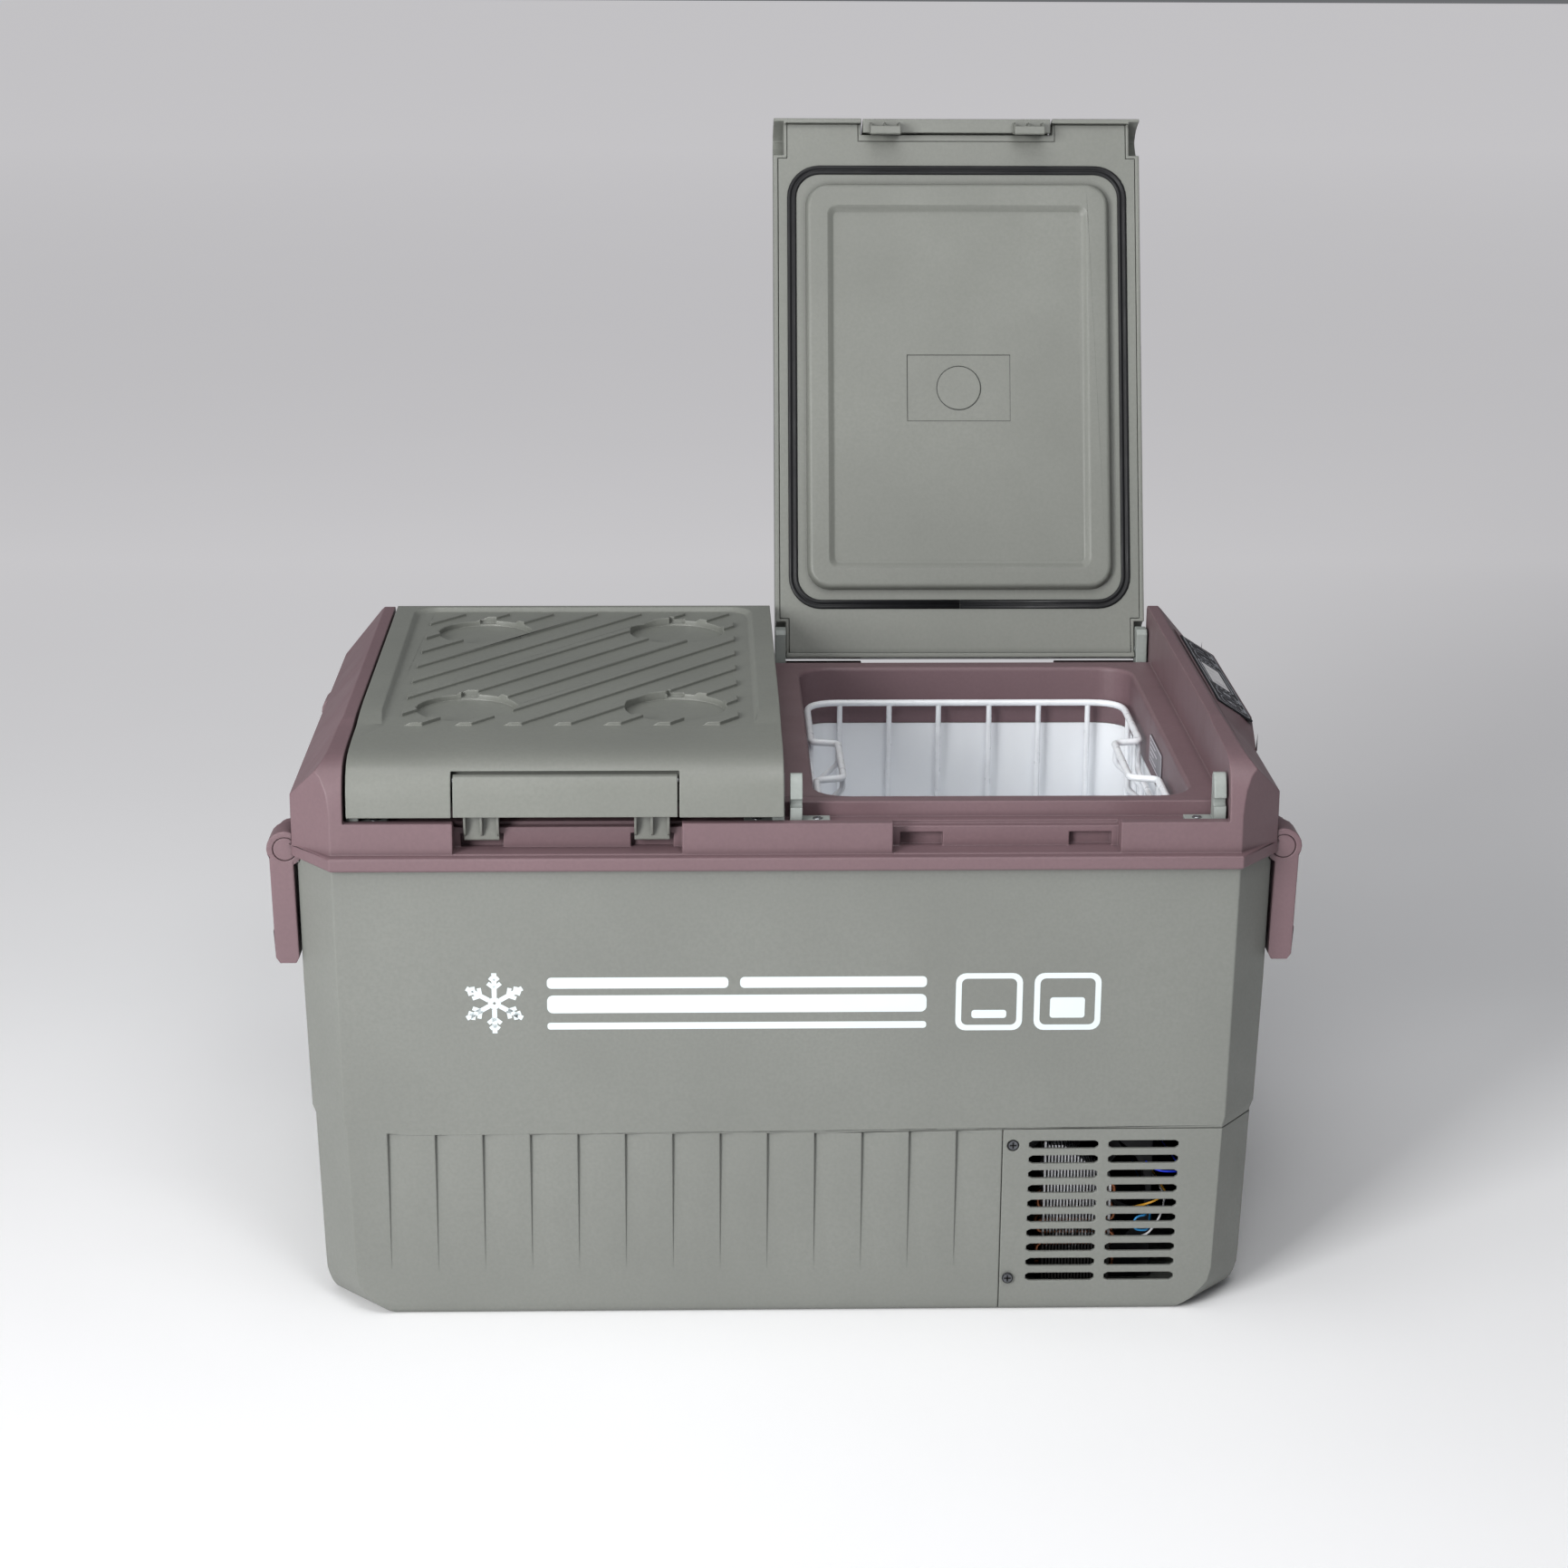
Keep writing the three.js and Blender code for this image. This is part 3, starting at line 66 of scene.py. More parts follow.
# ---- material helpers -----------------------------------------------------------------------------
class Shader:
    """One material's node tree, with short ways to add nodes and join them."""

    def __init__(self, name):
        self.material = bpy.data.materials.new(name)
        self.material.use_nodes = True
        self.tree = self.material.node_tree
        self.surface = self.tree.nodes["Principled BSDF"]
        self.place = self.add("ShaderNodeTexCoord").outputs["Object"]

    def add(self, kind, settings=None, **inputs):
        made = self.tree.nodes.new(kind)
        for name, value in (settings or {}).items():
            setattr(made, name, value)
        for name, value in inputs.items():
            self.feed(made.inputs[name], value)
        return made

    def feed(self, socket, value):
        if isinstance(value, bpy.types.NodeSocket):
            self.tree.links.new(value, socket)
        else:
            socket.default_value = value

    def noise(self, scale, detail=2.0, stretch=None, roughness=0.5):
        place = self.place
        if stretch is not None:
            place = self.add("ShaderNodeMapping", Vector=place, Scale=stretch).outputs["Vector"]
        settings = {"Vector": place, "Scale": scale, "Detail": detail, "Roughness": roughness}
        return self.add("ShaderNodeTexNoise", **settings).outputs["Fac"]

    def remap(self, value, low, high, to_low=0.0, to_high=1.0):
        node = self.add("ShaderNodeMapRange", Value=value)
        for name, number in (
            ("From Min", low), ("From Max", high), ("To Min", to_low), ("To Max", to_high),
        ):
            node.inputs[name].default_value = number
        return node.outputs["Result"]

    def math(self, operation, a, b=0.0):
        node = self.add("ShaderNodeMath", {"operation": operation})
        self.feed(node.inputs[0], a)
        self.feed(node.inputs[1], b)
        return node.outputs[0]

    def mix(self, share, a, b):
        node = self.add("ShaderNodeMix", {"data_type": "RGBA"})
        self.feed(node.inputs[0], share)
        self.feed(node.inputs[6], a)
        self.feed(node.inputs[7], b)
        return node.outputs[2]

    def edges(self, radius):
        """0 on flat faces, rising towards 1 at edges that turn within radius."""
        bevel = self.add("ShaderNodeBevel", {"samples": 4}, Radius=radius).outputs["Normal"]
        normal = self.add("ShaderNodeNewGeometry").outputs["Normal"]
        dot = self.add("ShaderNodeVectorMath", {"operation": "DOT_PRODUCT"})
        self.feed(dot.inputs[0], bevel)
        self.feed(dot.inputs[1], normal)
        return self.remap(dot.outputs["Value"], 0.995, 0.86)

    def soft_normal(self, radius):
        return self.add("ShaderNodeBevel", {"samples": 4}, Radius=radius).outputs["Normal"]

    def crevices(self, distance, open_share=0.75):
        """1 in tight corners, 0 in the open."""
        node = self.add("ShaderNodeAmbientOcclusion", {"samples": 4}, Distance=distance)
        return self.remap(node.outputs["AO"], open_share, open_share - 0.45)

    def bump(self, height, strength, distance, below=None):
        node = self.add("ShaderNodeBump", Height=height, Strength=strength, Distance=distance)
        if below is not None:
            self.feed(node.inputs["Normal"], below)
        return node.outputs["Normal"]

    def finish(self, colour=None, roughness=None, normal=None, **fixed):
        for name, value in (("Base Color", colour), ("Roughness", roughness), ("Normal", normal)):
            if value is not None:
                self.feed(self.surface.inputs[name], value)
        for name, value in fixed.items():
            self.surface.inputs[name.replace("_", " ")].default_value = value
        return self.material


def tinted(colour, factor):
    return (*(min(1.0, channel * factor) for channel in colour[:3]), 1.0)


GRAIN_SCALE = 900
GRAIN_DEPTH = 0.05 * MM
# reach of the edge mask, which makes edges glossier and lightens their colour as a painted highlight
EDGE_GLOSS_AND_HIGHLIGHT = 0.9 * MM
RUB_STRETCH = (38.0, 190.0, 240.0)


def rub_marks(s, cloud, amount):
    """Long thin rubs, only where the surface is cloudy."""
    streaks = s.noise(1.0, 5.0, stretch=RUB_STRETCH, roughness=0.7)
    rubs = s.math("MULTIPLY", s.remap(streaks, 0.60, 0.72), s.remap(cloud, 0.50, 0.68))
    return s.math("MULTIPLY", rubs, amount)


def moulded_colour(s, colour, cloud, edge, rubs, painted_crevice_shade):
    speck = s.noise(420.0, 3.0)
    base = s.mix(s.remap(cloud, 0.35, 0.65), tinted(colour, 0.95), tinted(colour, 1.05))
    base = s.mix(s.remap(speck, 0.35, 0.65, 0.0, 0.30), base, tinted(colour, 0.80))
    # painted highlight: the colour is lightened along the edges
    base = s.mix(s.math("MULTIPLY", edge, 0.28), base, tinted(colour, 1.55))
    # painted shade: the colour is darkened in crevices and grooves, where shade falls
    base = s.mix(s.math("MULTIPLY", s.crevices(5 * MM, 0.88), painted_crevice_shade), base, tinted(colour, 0.25))
    return s.mix(s.math("MULTIPLY", rubs, 0.35), base, tinted(colour, 1.35))


def moulded_shine(s, rough, edge, rubs):
    shine = s.remap(s.noise(24.0, 3.0), 0.3, 0.7, rough - 0.05, rough + 0.06)
    shine = s.math("SUBTRACT", shine, s.math("MULTIPLY", edge, 0.10))
    return s.math("SUBTRACT", shine, s.math("MULTIPLY", rubs, 0.08))


def moulded_grain(s, soft):
    """Fine and coarse spark grain over a slow flow, with edges softened by so many millimetres."""
    fine = s.bump(s.noise(GRAIN_SCALE * 2.2, 2.0), 0.55, GRAIN_DEPTH, s.soft_normal(soft * MM))
    skin = s.bump(s.noise(GRAIN_SCALE, 3.0), 0.5, GRAIN_DEPTH * 2.2, fine)
    return s.bump(s.noise(9.0, 1.0), 0.12, 0.9 * MM, skin)


def moulded_plastic(name, colour, rough=0.5, scuffs=0.5, painted_crevice_shade=0.45, soft=1.1):
    """Spark-textured injection moulding: fine grain, soft cloudiness, glossier edges lightened as a painted
    highlight, painted shade in crevices, and faint rubs.
    """
    s = Shader(name)
    cloud = s.noise(7.0, 4.0)
    edge = s.edges(EDGE_GLOSS_AND_HIGHLIGHT)
    rubs = rub_marks(s, cloud, scuffs)
    base = moulded_colour(s, colour, cloud, edge, rubs, painted_crevice_shade)
    return s.finish(base, moulded_shine(s, rough, edge, rubs), moulded_grain(s, soft))


def smooth_plastic(name, colour, rough=0.3, ripple=0.3, specular=0.5):
    """Glossy moulded or vacuum-formed plastic with a slight orange peel and handling haze."""
    s = Shader(name)
    base = s.mix(s.remap(s.noise(11.0, 4.0), 0.35, 0.65), tinted(colour, 0.97), tinted(colour, 1.03))
    # painted shade: the colour is darkened in crevices and corners
    base = s.mix(s.math("MULTIPLY", s.crevices(8 * MM), 0.25), base, tinted(colour, 0.7))
    shine = s.remap(s.noise(60.0, 4.0), 0.3, 0.7, rough - 0.06, rough + 0.08)
    peel = s.bump(s.noise(240.0, 2.0), ripple, 0.08 * MM)
    waves = s.bump(s.noise(14.0, 1.0), 0.15, 0.8 * MM, peel)
    return s.finish(base, shine, waves, Specular_IOR_Level=specular)


def coated_wire(name, colour):
    """Dipped plastic coating on steel wire: lumpy along the wire, with painted shade where the wires cross.
    """
    s = Shader(name)
    base = s.mix(s.remap(s.noise(90.0, 3.0), 0.4, 0.7), colour, tinted(colour, 0.93))
    # painted shade: the colour is darkened where the wires cross and touch
    base = s.mix(s.math("MULTIPLY", s.crevices(4 * MM), 0.35), base, tinted(colour, 0.6))
    shine = s.remap(s.noise(130.0, 3.0), 0.3, 0.7, 0.24, 0.42)
    lumps = s.bump(s.noise(150.0, 2.0), 0.35, 0.35 * MM)
    return s.finish(base, shine, lumps, Coat_Weight=0.25, Coat_Roughness=0.2)


def rubber(name, colour, rough=0.55):
    """Matt elastomer with a little dust in its skin."""
    s = Shader(name)
    dust = s.remap(s.noise(120.0, 4.0), 0.45, 0.75)
    base = s.mix(s.math("MULTIPLY", dust, 0.5), colour, tinted(colour, 1.8))
    shine = s.remap(s.noise(45.0, 3.0), 0.3, 0.7, rough - 0.12, rough + 0.1)
    skin = s.bump(s.noise(1400.0, 2.0), 0.4, 0.06 * MM)
    return s.finish(base, shine, skin, Specular_IOR_Level=0.4)


BRUSHING_STRETCH = (60.0, 900.0, 900.0)


def metal(name, colour, rough=0.35, stain=0.3):
    """Rolled or drawn metal: fine brushing along one axis and dull stained patches."""
    s = Shader(name)
    brushed = s.noise(1.0, 3.0, stretch=BRUSHING_STRETCH)
    patches = s.remap(s.noise(35.0, 5.0), 0.45, 0.75)
    base = s.mix(s.remap(brushed, 0.3, 0.7), tinted(colour, 0.88), tinted(colour, 1.08))
    base = s.mix(s.math("MULTIPLY", patches, stain), base, tinted(colour, 0.55))
    shine = s.remap(brushed, 0.3, 0.7, rough - 0.06, rough + 0.08)
    shine = s.math("ADD", shine, s.math("MULTIPLY", patches, 0.15))
    lines = s.bump(brushed, 0.25, 0.05 * MM)
    return s.finish(base, shine, lines, Metallic=1.0)


def fins_dark_below(name, colour):
    """Bright aluminium fins, turning nearly black and less metallic towards the floor of the bay."""
    s = Shader(name)
    height = s.add("ShaderNodeSeparateXYZ", Vector=s.place).outputs["Z"]
    uneven_rise = s.remap(s.noise(260.0, 4.0), 0.3, 0.7, -0.012, 0.012)
    # the fins go nearly black and less metallic below about 46 to 80 mm
    upper_share = s.remap(s.math("ADD", height, uneven_rise), 0.046, 0.080)
    base = s.mix(upper_share, (0.012, 0.011, 0.010, 1), colour)
    shine = s.remap(upper_share, 0.0, 1.0, 0.9, 0.4)
    s.feed(s.surface.inputs["Metallic"], s.math("MULTIPLY", upper_share, 0.75))
    return s.finish(base, shine, s.bump(s.noise(1200.0, 2.0), 0.3, 0.05 * MM))


def foam(name, colour):
    """Cut polyurethane foam: small cells and a few darker patches."""
    s = Shader(name)
    cells = s.add("ShaderNodeTexVoronoi", Vector=s.place, Scale=520.0).outputs["Distance"]
    base = s.mix(s.remap(cells, 0.1, 0.7), tinted(colour, 0.8), colour)
    base = s.mix(s.remap(s.noise(12.0, 4.0), 0.4, 0.7, 0.0, 0.4), base, tinted(colour, 0.72))
    return s.finish(base, s.remap(cells, 0.0, 0.8, 0.8, 0.95), s.bump(cells, 0.7, 0.5 * MM))


def smoked_glass(name):
    """Dark glossy display window with finger haze."""
    s = Shader(name)
    haze = s.remap(s.noise(70.0, 4.0), 0.4, 0.8)
    base = s.mix(s.math("MULTIPLY", haze, 0.4), linear(24, 26, 30), linear(52, 54, 60))
    shine = s.remap(haze, 0.0, 1.0, 0.07, 0.22)
    waves = s.bump(s.noise(30.0, 1.0), 0.08, 0.3 * MM)
    return s.finish(base, shine, waves, Coat_Weight=0.6, Coat_Roughness=0.05)


def printed_ink(name, colour):
    """Pad-printed ink: slightly uneven, with the plastic's grain showing through as pin holes."""
    s = Shader(name)
    pin = s.remap(s.noise(900.0, 3.0), 0.66, 0.74)
    base = s.mix(s.math("MULTIPLY", pin, 0.25), colour, tinted(colour, 0.6))
    base = s.mix(s.remap(s.noise(30.0, 3.0), 0.35, 0.65), base, tinted(colour, 0.97))
    shine = s.remap(s.noise(160.0, 3.0), 0.3, 0.7, 0.38, 0.52)
    return s.finish(base, shine, s.bump(s.noise(1500.0, 2.0), 0.4, 0.05 * MM))


BODY_GREY = linear(123, 125, 120)
LID_GREY = linear(124, 126, 120)
FRAME_MAUVE = linear(116, 93, 98)
WHITE = linear(246, 249, 253)

MATERIALS = {
    "body_plastic": moulded_plastic("body_moulding", BODY_GREY, rough=0.54, painted_crevice_shade=0.2),
    "lid_plastic": moulded_plastic("lid_moulding", LID_GREY, rough=0.43, scuffs=0.9),
    # the lid panel's grooves get a stronger painted shade
    "panel_plastic": moulded_plastic(
        "panel_moulding", LID_GREY, rough=0.46, scuffs=0.7, painted_crevice_shade=0.85, soft=0.5,
    ),
    "frame_plastic": moulded_plastic("frame_moulding", FRAME_MAUVE, rough=0.50, scuffs=0.6),
    "liner_white": smooth_plastic("liner_plastic", WHITE, rough=0.34),
    "coated_wire": coated_wire("wire_coating", WHITE),
    "label_white": smooth_plastic("label_film", linear(120, 116, 122), rough=0.4),
    "rubber": rubber("black_rubber", linear(9, 10, 13)),
    "bracket_plastic": moulded_plastic("bracket_moulding", linear(150, 156, 152), rough=0.42, scuffs=0.3),
    "foam": foam("insulation", linear(226, 214, 168)),
    "steel": metal("steel_screw", linear(170, 172, 176), rough=0.32),
    "galvanised": metal("galvanised_sheet", linear(150, 155, 158), rough=0.45, stain=0.45),
    "aluminium": fins_dark_below("aluminium_fin", linear(236, 237, 240)),
    "panel_overlay": smooth_plastic(
        "overlay_film", linear(34, 33, 37), rough=0.48, ripple=0.15, specular=0.2,
    ),
    "display_lens": smoked_glass("display_glass"),
    "button_pad": rubber("button_rubber", linear(54, 52, 57), rough=0.55),
    "black_steel": metal("painted_steel", linear(38, 38, 41), rough=0.42, stain=0.2),
    "black_plastic": moulded_plastic("black_moulding", linear(30, 31, 34), rough=0.5, scuffs=0.2),
    "copper": metal("copper_pipe", linear(184, 118, 84), rough=0.3, stain=0.4),
}


# ---- the frame's own nodes --------------------------------------------------------------------------
EDGE_MM = {
    "outer_shell": 0.9,
    "compressor_cover": 0.5,
    "upper_frame": 0.7,
    "lid_left_shell": 0.6,
    "lid_right_shell": 0.6,
    "lid_left_panel": 0.45,
    "lid_right_panel": 0.45,
    "handle_left": 0.6,
    "handle_right": 0.6,
}
SMALL_EDGE_MM = 0.25
EDGE_LIMIT = math.radians(31)
SAME_POINT = 0.004 * MM


def round_edges(node, width):
    """Welds the faceted solid, rounds its edges and shades it smoothly."""
    for polygon in node.data.polygons:
        polygon.use_smooth = True
    weld = node.modifiers.new("weld", "WELD")
    weld.merge_threshold = SAME_POINT
    bevel = node.modifiers.new("bevel", "BEVEL")
    bevel.width = width
    bevel.segments = 3
    bevel.limit_method = "ANGLE"
    bevel.angle_limit = EDGE_LIMIT
    bevel.use_clamp_overlap = False
    shade = node.modifiers.new("shade", "WEIGHTED_NORMAL")
    shade.keep_sharp = False
    shade.weight = 80


def material_slots():
    """Node name to the record's material slot."""
    slots = {}
    for entry in frame["record"]["materials"]:
        for name in entry.get("nodes", []):
            slots[name] = entry["slot"]
    return slots


OWN_PLASTIC = {"lid_left_panel": "panel_plastic", "lid_right_panel": "panel_plastic"}


def dress_nodes():
    slots = material_slots()
    for name, node in NODES.items():
        slot = slots.get(name) or node.data.materials[0].name
        node.data.materials[0] = MATERIALS[OWN_PLASTIC.get(name, slot)]
        round_edges(node, EDGE_MM.get(name, SMALL_EDGE_MM) * MM)


dress_nodes()


# ---- fine pieces --------------------------------------------------------------------------------------
# Places below are millimetres in the part's own frame, with both lids closed.
HINGE = Vector((0, 211, 375))
LID_SWING = Matrix.Rotation(math.radians(-110), 4, "X")
OPEN_LID = Matrix.Translation(HINGE) @ LID_SWING @ Matrix.Translation(-HINGE)
STILL = Matrix.Identity(4)


def centre_of(node):
    low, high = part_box(node)
    return (low + high) / (2 * MM)


def place_piece(data, name, slot, body, replaced=(), turn=STILL, material=None):
    """Adds a curve or mesh made in millimetres as a piece that moves with a body."""
    data.materials.append(material or MATERIALS[slot])
    data.transform(Matrix.Scale(MM, 4) @ turn)
    piece = bpy.data.objects.new(name, data)
    bpy.context.scene.collection.objects.link(piece)
    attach(piece, body)
    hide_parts(*replaced)
    return piece


def mesh_of(name, vertices, faces, smooth=True):
    mesh = bpy.data.meshes.new(name)
    mesh.from_pydata([tuple(v) for v in vertices], [], faces)
    shape = bmesh.new()
    shape.from_mesh(mesh)
    bmesh.ops.recalc_face_normals(shape, faces=shape.faces)
    shape.to_mesh(mesh)
    shape.free()
    for polygon in mesh.polygons:
        polygon.use_smooth = smooth
    return mesh


def wire_curve(name, runs, radius, resolution=3):
    """Round wires along runs of points, each given as (points, closed)."""
    curve = bpy.data.curves.new(name, "CURVE")
    curve.dimensions = "3D"
    curve.bevel_depth = radius
    curve.bevel_resolution = resolution
    curve.use_fill_caps = True
    for points, closed in runs:
        spline = curve.splines.new("POLY")
        spline.points.add(len(points) - 1)
        spline.use_cyclic_u = closed
        for point, place in zip(spline.points, points):
            point.co = (*place, 1)
    return curve


def soften(points, radius, closed=False, steps=5):
    """The same line with each corner turned into an arc-like curve of about that radius."""
    points = [Vector(p) for p in points]
    count = len(points)
    line = []
    for i, corner in enumerate(points):
        if not closed and i in (0, count - 1):
            line.append(corner)
            continue
        before, after = points[i - 1], points[(i + 1) % count]
        into, out = before - corner, after - corner
        turn = into.angle(out)
        reach = min(radius / max(math.tan(turn / 2), 0.05), into.length * 0.49, out.length * 0.49)
        a = corner + into.normalized() * reach
        b = corner + out.normalized() * reach
        for k in range(steps + 1):
            t = k / steps
            line.append(a * (1 - t) ** 2 + corner * 2 * t * (1 - t) + b * t * t)
    return line


def soften_each(points, radii):
    """A closed line with a corner radius of its own at each point."""
    line = []
    count = len(points)
    for i, radius in enumerate(radii):
        three = [points[i - 1], points[i], points[(i + 1) % count]]
        line += soften(three, radius, steps=6)[1:-1]
    return line


# baskets: a round rim with two finger grips, hoops both ways, and stays under the grips
BASKET_TOP = 344
BASKET_HALF = 124.4
BASKET_FRONT = -165.4
BASKET_REAR = 163.4
RAIL_RADIUS = 2.6
HOOP_RADIUS = 2.15
GRIP_Y = 46
GRIP_IN = 20
BRIDGE_Y = GRIP_Y + 12
BRIDGE_DROP = 24
HOOP_X = (-98, -59, -20, 20, 59, 98)
SIDE_Y = (-120, -72, 72, 120)
STAY_Y = (-34, 34)

# heights of the crossing wires above the basket's lowest point
LONG_HOOP_RISE = 2.2
BASE_RISE = 4
CROSS_HOOP_RISE = 5.8


def rim_line():
    """The top rail, stepped inwards at both ends for a finger grip."""
    grip_x = BASKET_HALF - GRIP_IN
    right = [
        (BASKET_HALF, BASKET_FRONT),
        (BASKET_HALF, -GRIP_Y - 5),
        (grip_x, -GRIP_Y),
        (grip_x, GRIP_Y),
        (BASKET_HALF, GRIP_Y + 5),
        (BASKET_HALF, BASKET_REAR),
    ]
    left = [(-x, y) for x, y in reversed(right)]
    line = [(x, y, BASKET_TOP) for x, y in right + left]
    corners = {0, 5, 6, 11}
    return soften_each(line, [26 if i in corners else 7 for i in range(len(line))])


def base_line(z):
    hx = BASKET_HALF
    line = [(hx, BASKET_FRONT, z), (hx, BASKET_REAR, z), (-hx, BASKET_REAR, z), (-hx, BASKET_FRONT, z)]
    return soften(line, 18, closed=True, steps=6)


def long_hoop(x, z):
    """A wire down the front, back under the basket and up the rear."""
    front, rear = BASKET_FRONT, BASKET_REAR
    line = [(x, front, BASKET_TOP), (x, front, z), (x, rear, z), (x, rear, BASKET_TOP)]
    return soften(line, 9)


def cross_hoop(y, z):
    """A wire down one end, across under the basket and up the other end."""
    hx = BASKET_HALF
    return soften([(hx, y, BASKET_TOP), (hx, y, z), (-hx, y, z), (-hx, y, BASKET_TOP)], 9)


def grip_stay(inner, outer, y, low):
    """A wire from the grip down and out to the basket's side, then down to its base."""
    line = [
        (inner, y, BASKET_TOP),
        (inner, y, BASKET_TOP - 12),
        (outer, y, BASKET_TOP - 30),
        (outer, y, low + BASE_RISE),
    ]
    return soften(line, 7)


def grip_bridge(x):
    """A wire that hangs below a grip, from one side of its gap to the other."""
    line = [
        (x, -BRIDGE_Y, BASKET_TOP),
        (x, -BRIDGE_Y, BASKET_TOP - BRIDGE_DROP),
        (x, BRIDGE_Y, BASKET_TOP - BRIDGE_DROP),
        (x, BRIDGE_Y, BASKET_TOP),
    ]
    return soften(line, 8)


def basket_hoops(low):
    hoops = [long_hoop(x, low + LONG_HOOP_RISE) for x in HOOP_X]
    hoops += [cross_hoop(y, low + CROSS_HOOP_RISE) for y in SIDE_Y]
    for side in (-1, 1):
        inner, outer = side * (BASKET_HALF - GRIP_IN), side * BASKET_HALF
        hoops += [grip_stay(inner, outer, y, low) for y in STAY_Y]
        hoops.append(grip_bridge(outer))
    return [(hoop, False) for hoop in hoops]


def add_basket(side, body):
    node = "basket_" + side
    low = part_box(node)[0].z / MM
    turn = Matrix.Translation((centre_of(node).x, 0, 0))
    rails = [(rim_line(), True), (base_line(low + BASE_RISE), True)]
    rail = wire_curve(f"basket_{side}_rails", rails, RAIL_RADIUS, 4)
    place_piece(rail, f"basket_{side}_rails", "coated_wire", body, [node], turn)
    wires = wire_curve(f"basket_{side}_wires", basket_hoops(low), HOOP_RADIUS, 3)
    place_piece(wires, f"basket_{side}_wires", "coated_wire", body, (), turn)


add_basket("left", "fridge")
add_basket("right", "basket_right")


# lid gaskets: a soft double lip run round the panel, cut and butted at the rear
GASKET_WIDTH = 7.4
GASKET_TOP = 371.15
GASKET_HALF = 136.8
GASKET_FRONT = -180.2
GASKET_REAR = 178.6
GASKET_CORNER = 26
BUTT_GAP = 0.22
ARC_STEPS = 8

# one lip's section, as inset from the gasket's outer edge and drop below its seat
LIP = ((0.0, 0.0), (0.15, 0.5), (0.6, 0.9), (1.4, 1.1), (2.2, 1.05), (2.9, 0.7), (3.3, 0.3))
INNER_LIP = tuple((GASKET_WIDTH - inset, drop) for inset, drop in reversed(LIP))
DOUBLE_LIP = (*LIP, (GASKET_WIDTH / 2, 0.2), *INNER_LIP)


def gasket_ring(inset):
    """Points round the lid at one inset, from the rear's middle and back to it."""
    hx = GASKET_HALF - inset
    y0, y1 = GASKET_FRONT + inset, GASKET_REAR - inset
    radius = GASKET_CORNER - inset * 0.95
    arcs = ((hx, y1, 90), (hx, y0, 0), (-hx, y0, -90), (-hx, y1, -180))
    line = [(BUTT_GAP, y1)]
    for x, y, start in arcs:
        cx = x - math.copysign(radius, x)
        cy = y - math.copysign(radius, y)
        for k in range(ARC_STEPS + 1):
            angle = math.radians(start - 90 * k / ARC_STEPS)
            line.append((cx + radius * math.cos(angle), cy + radius * math.sin(angle)))
    line.append((-BUTT_GAP, y1))
    return line


def add_gasket(side, turn):
    node = f"lid_{side}_gasket"
    middle = centre_of(node).x
    rings = [(gasket_ring(inset), drop) for inset, drop in DOUBLE_LIP]
    vertices = [(x + middle, y, GASKET_TOP - drop) for ring, drop in rings for x, y in ring]
    length = len(rings[0][0])
    count = len(rings)
    faces = []
    for r in range(count):
        a, b = r * length, ((r + 1) % count) * length
        faces += [(a + i, a + i + 1, b + i + 1, b + i) for i in range(length - 1)]
    faces.append([r * length for r in range(count)])
    faces.append([r * length + length - 1 for r in range(count)])
    mesh = mesh_of(f"gasket_{side}", vertices, faces)
    place_piece(mesh, f"gasket_{side}", "rubber", f"lid_{side}", [node], turn)


add_gasket("left", STILL)
add_gasket("right", OPEN_LID)


# condenser: many thin fins threaded on one copper tube that doubles back at both ends
FIN_PITCH = 2.3
FIN_THICKNESS = 1.0
FIN_FOOT = 14
FIN_TOP = 118
FIN_SLOPE_FROM = 196
FIN_SLOPE = 0.8
FIN_MARGIN = 3
END_PLATE = 1.4
PLATE_FOOT = 4
LEFT_PLATE_TOP = 121
RIGHT_PLATE_TOP = 92
COIL_Z = tuple(22 + 9.2 * i for i in range(8))


def box_mesh(boxes):
    """Vertices and faces of boxes given as (x0, x1, y0, y1, z0, z1)."""
    vertices, faces = [], []
    sides = ((0, 1, 3, 2), (4, 6, 7, 5), (0, 4, 5, 1), (2, 3, 7, 6), (0, 2, 6, 4), (1, 5, 7, 3))
    for x0, x1, y0, y1, z0, z1 in boxes:
        base = len(vertices)
        vertices += [(x, y, z) for x in (x0, x1) for y in (y0, y1) for z in (z0, z1)]
        faces += [tuple(base + i for i in side) for side in sides]
    return vertices, faces


def coil_line(x0, x1, y):
    """One tube up through the fins, turning back outside them at each level."""
    line = []
    for i, z in enumerate(COIL_Z):
        across = (x0, x1) if i % 2 == 0 else (x1, x0)
        line += [(across[0], y, z), (across[1], y, z)]
    return soften(line, 5.5, steps=6)


def add_condenser():
    low, high = (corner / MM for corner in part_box("condenser"))
    x0, x1 = low.x + 14, high.x + 1
    fins = []
    for i in range(int((x1 - x0 - 2 * FIN_MARGIN) / FIN_PITCH)):
        x = x0 + FIN_MARGIN + i * FIN_PITCH
        top = FIN_TOP - FIN_SLOPE * max(0, x - FIN_SLOPE_FROM)
        fins.append((x, x + FIN_THICKNESS, low.y + 1, high.y - 1, FIN_FOOT, top))
    plates = [
        (x0, x0 + END_PLATE, low.y, high.y, PLATE_FOOT, LEFT_PLATE_TOP),
        (x1 - END_PLATE, x1, low.y, high.y, PLATE_FOOT, RIGHT_PLATE_TOP),
    ]
    mesh = mesh_of("condenser_fins", *box_mesh(fins + plates), smooth=False)
    place_piece(mesh, "condenser_fins", "aluminium", "fridge", ["condenser"])
    coils = [(coil_line(x0 - 3, x1 + 3, y), False) for y in (low.y + 7, high.y - 7)]
    place_piece(wire_curve("condenser_coil", coils, 1.6), "condenser_coil", "copper", "fridge")


add_condenser()


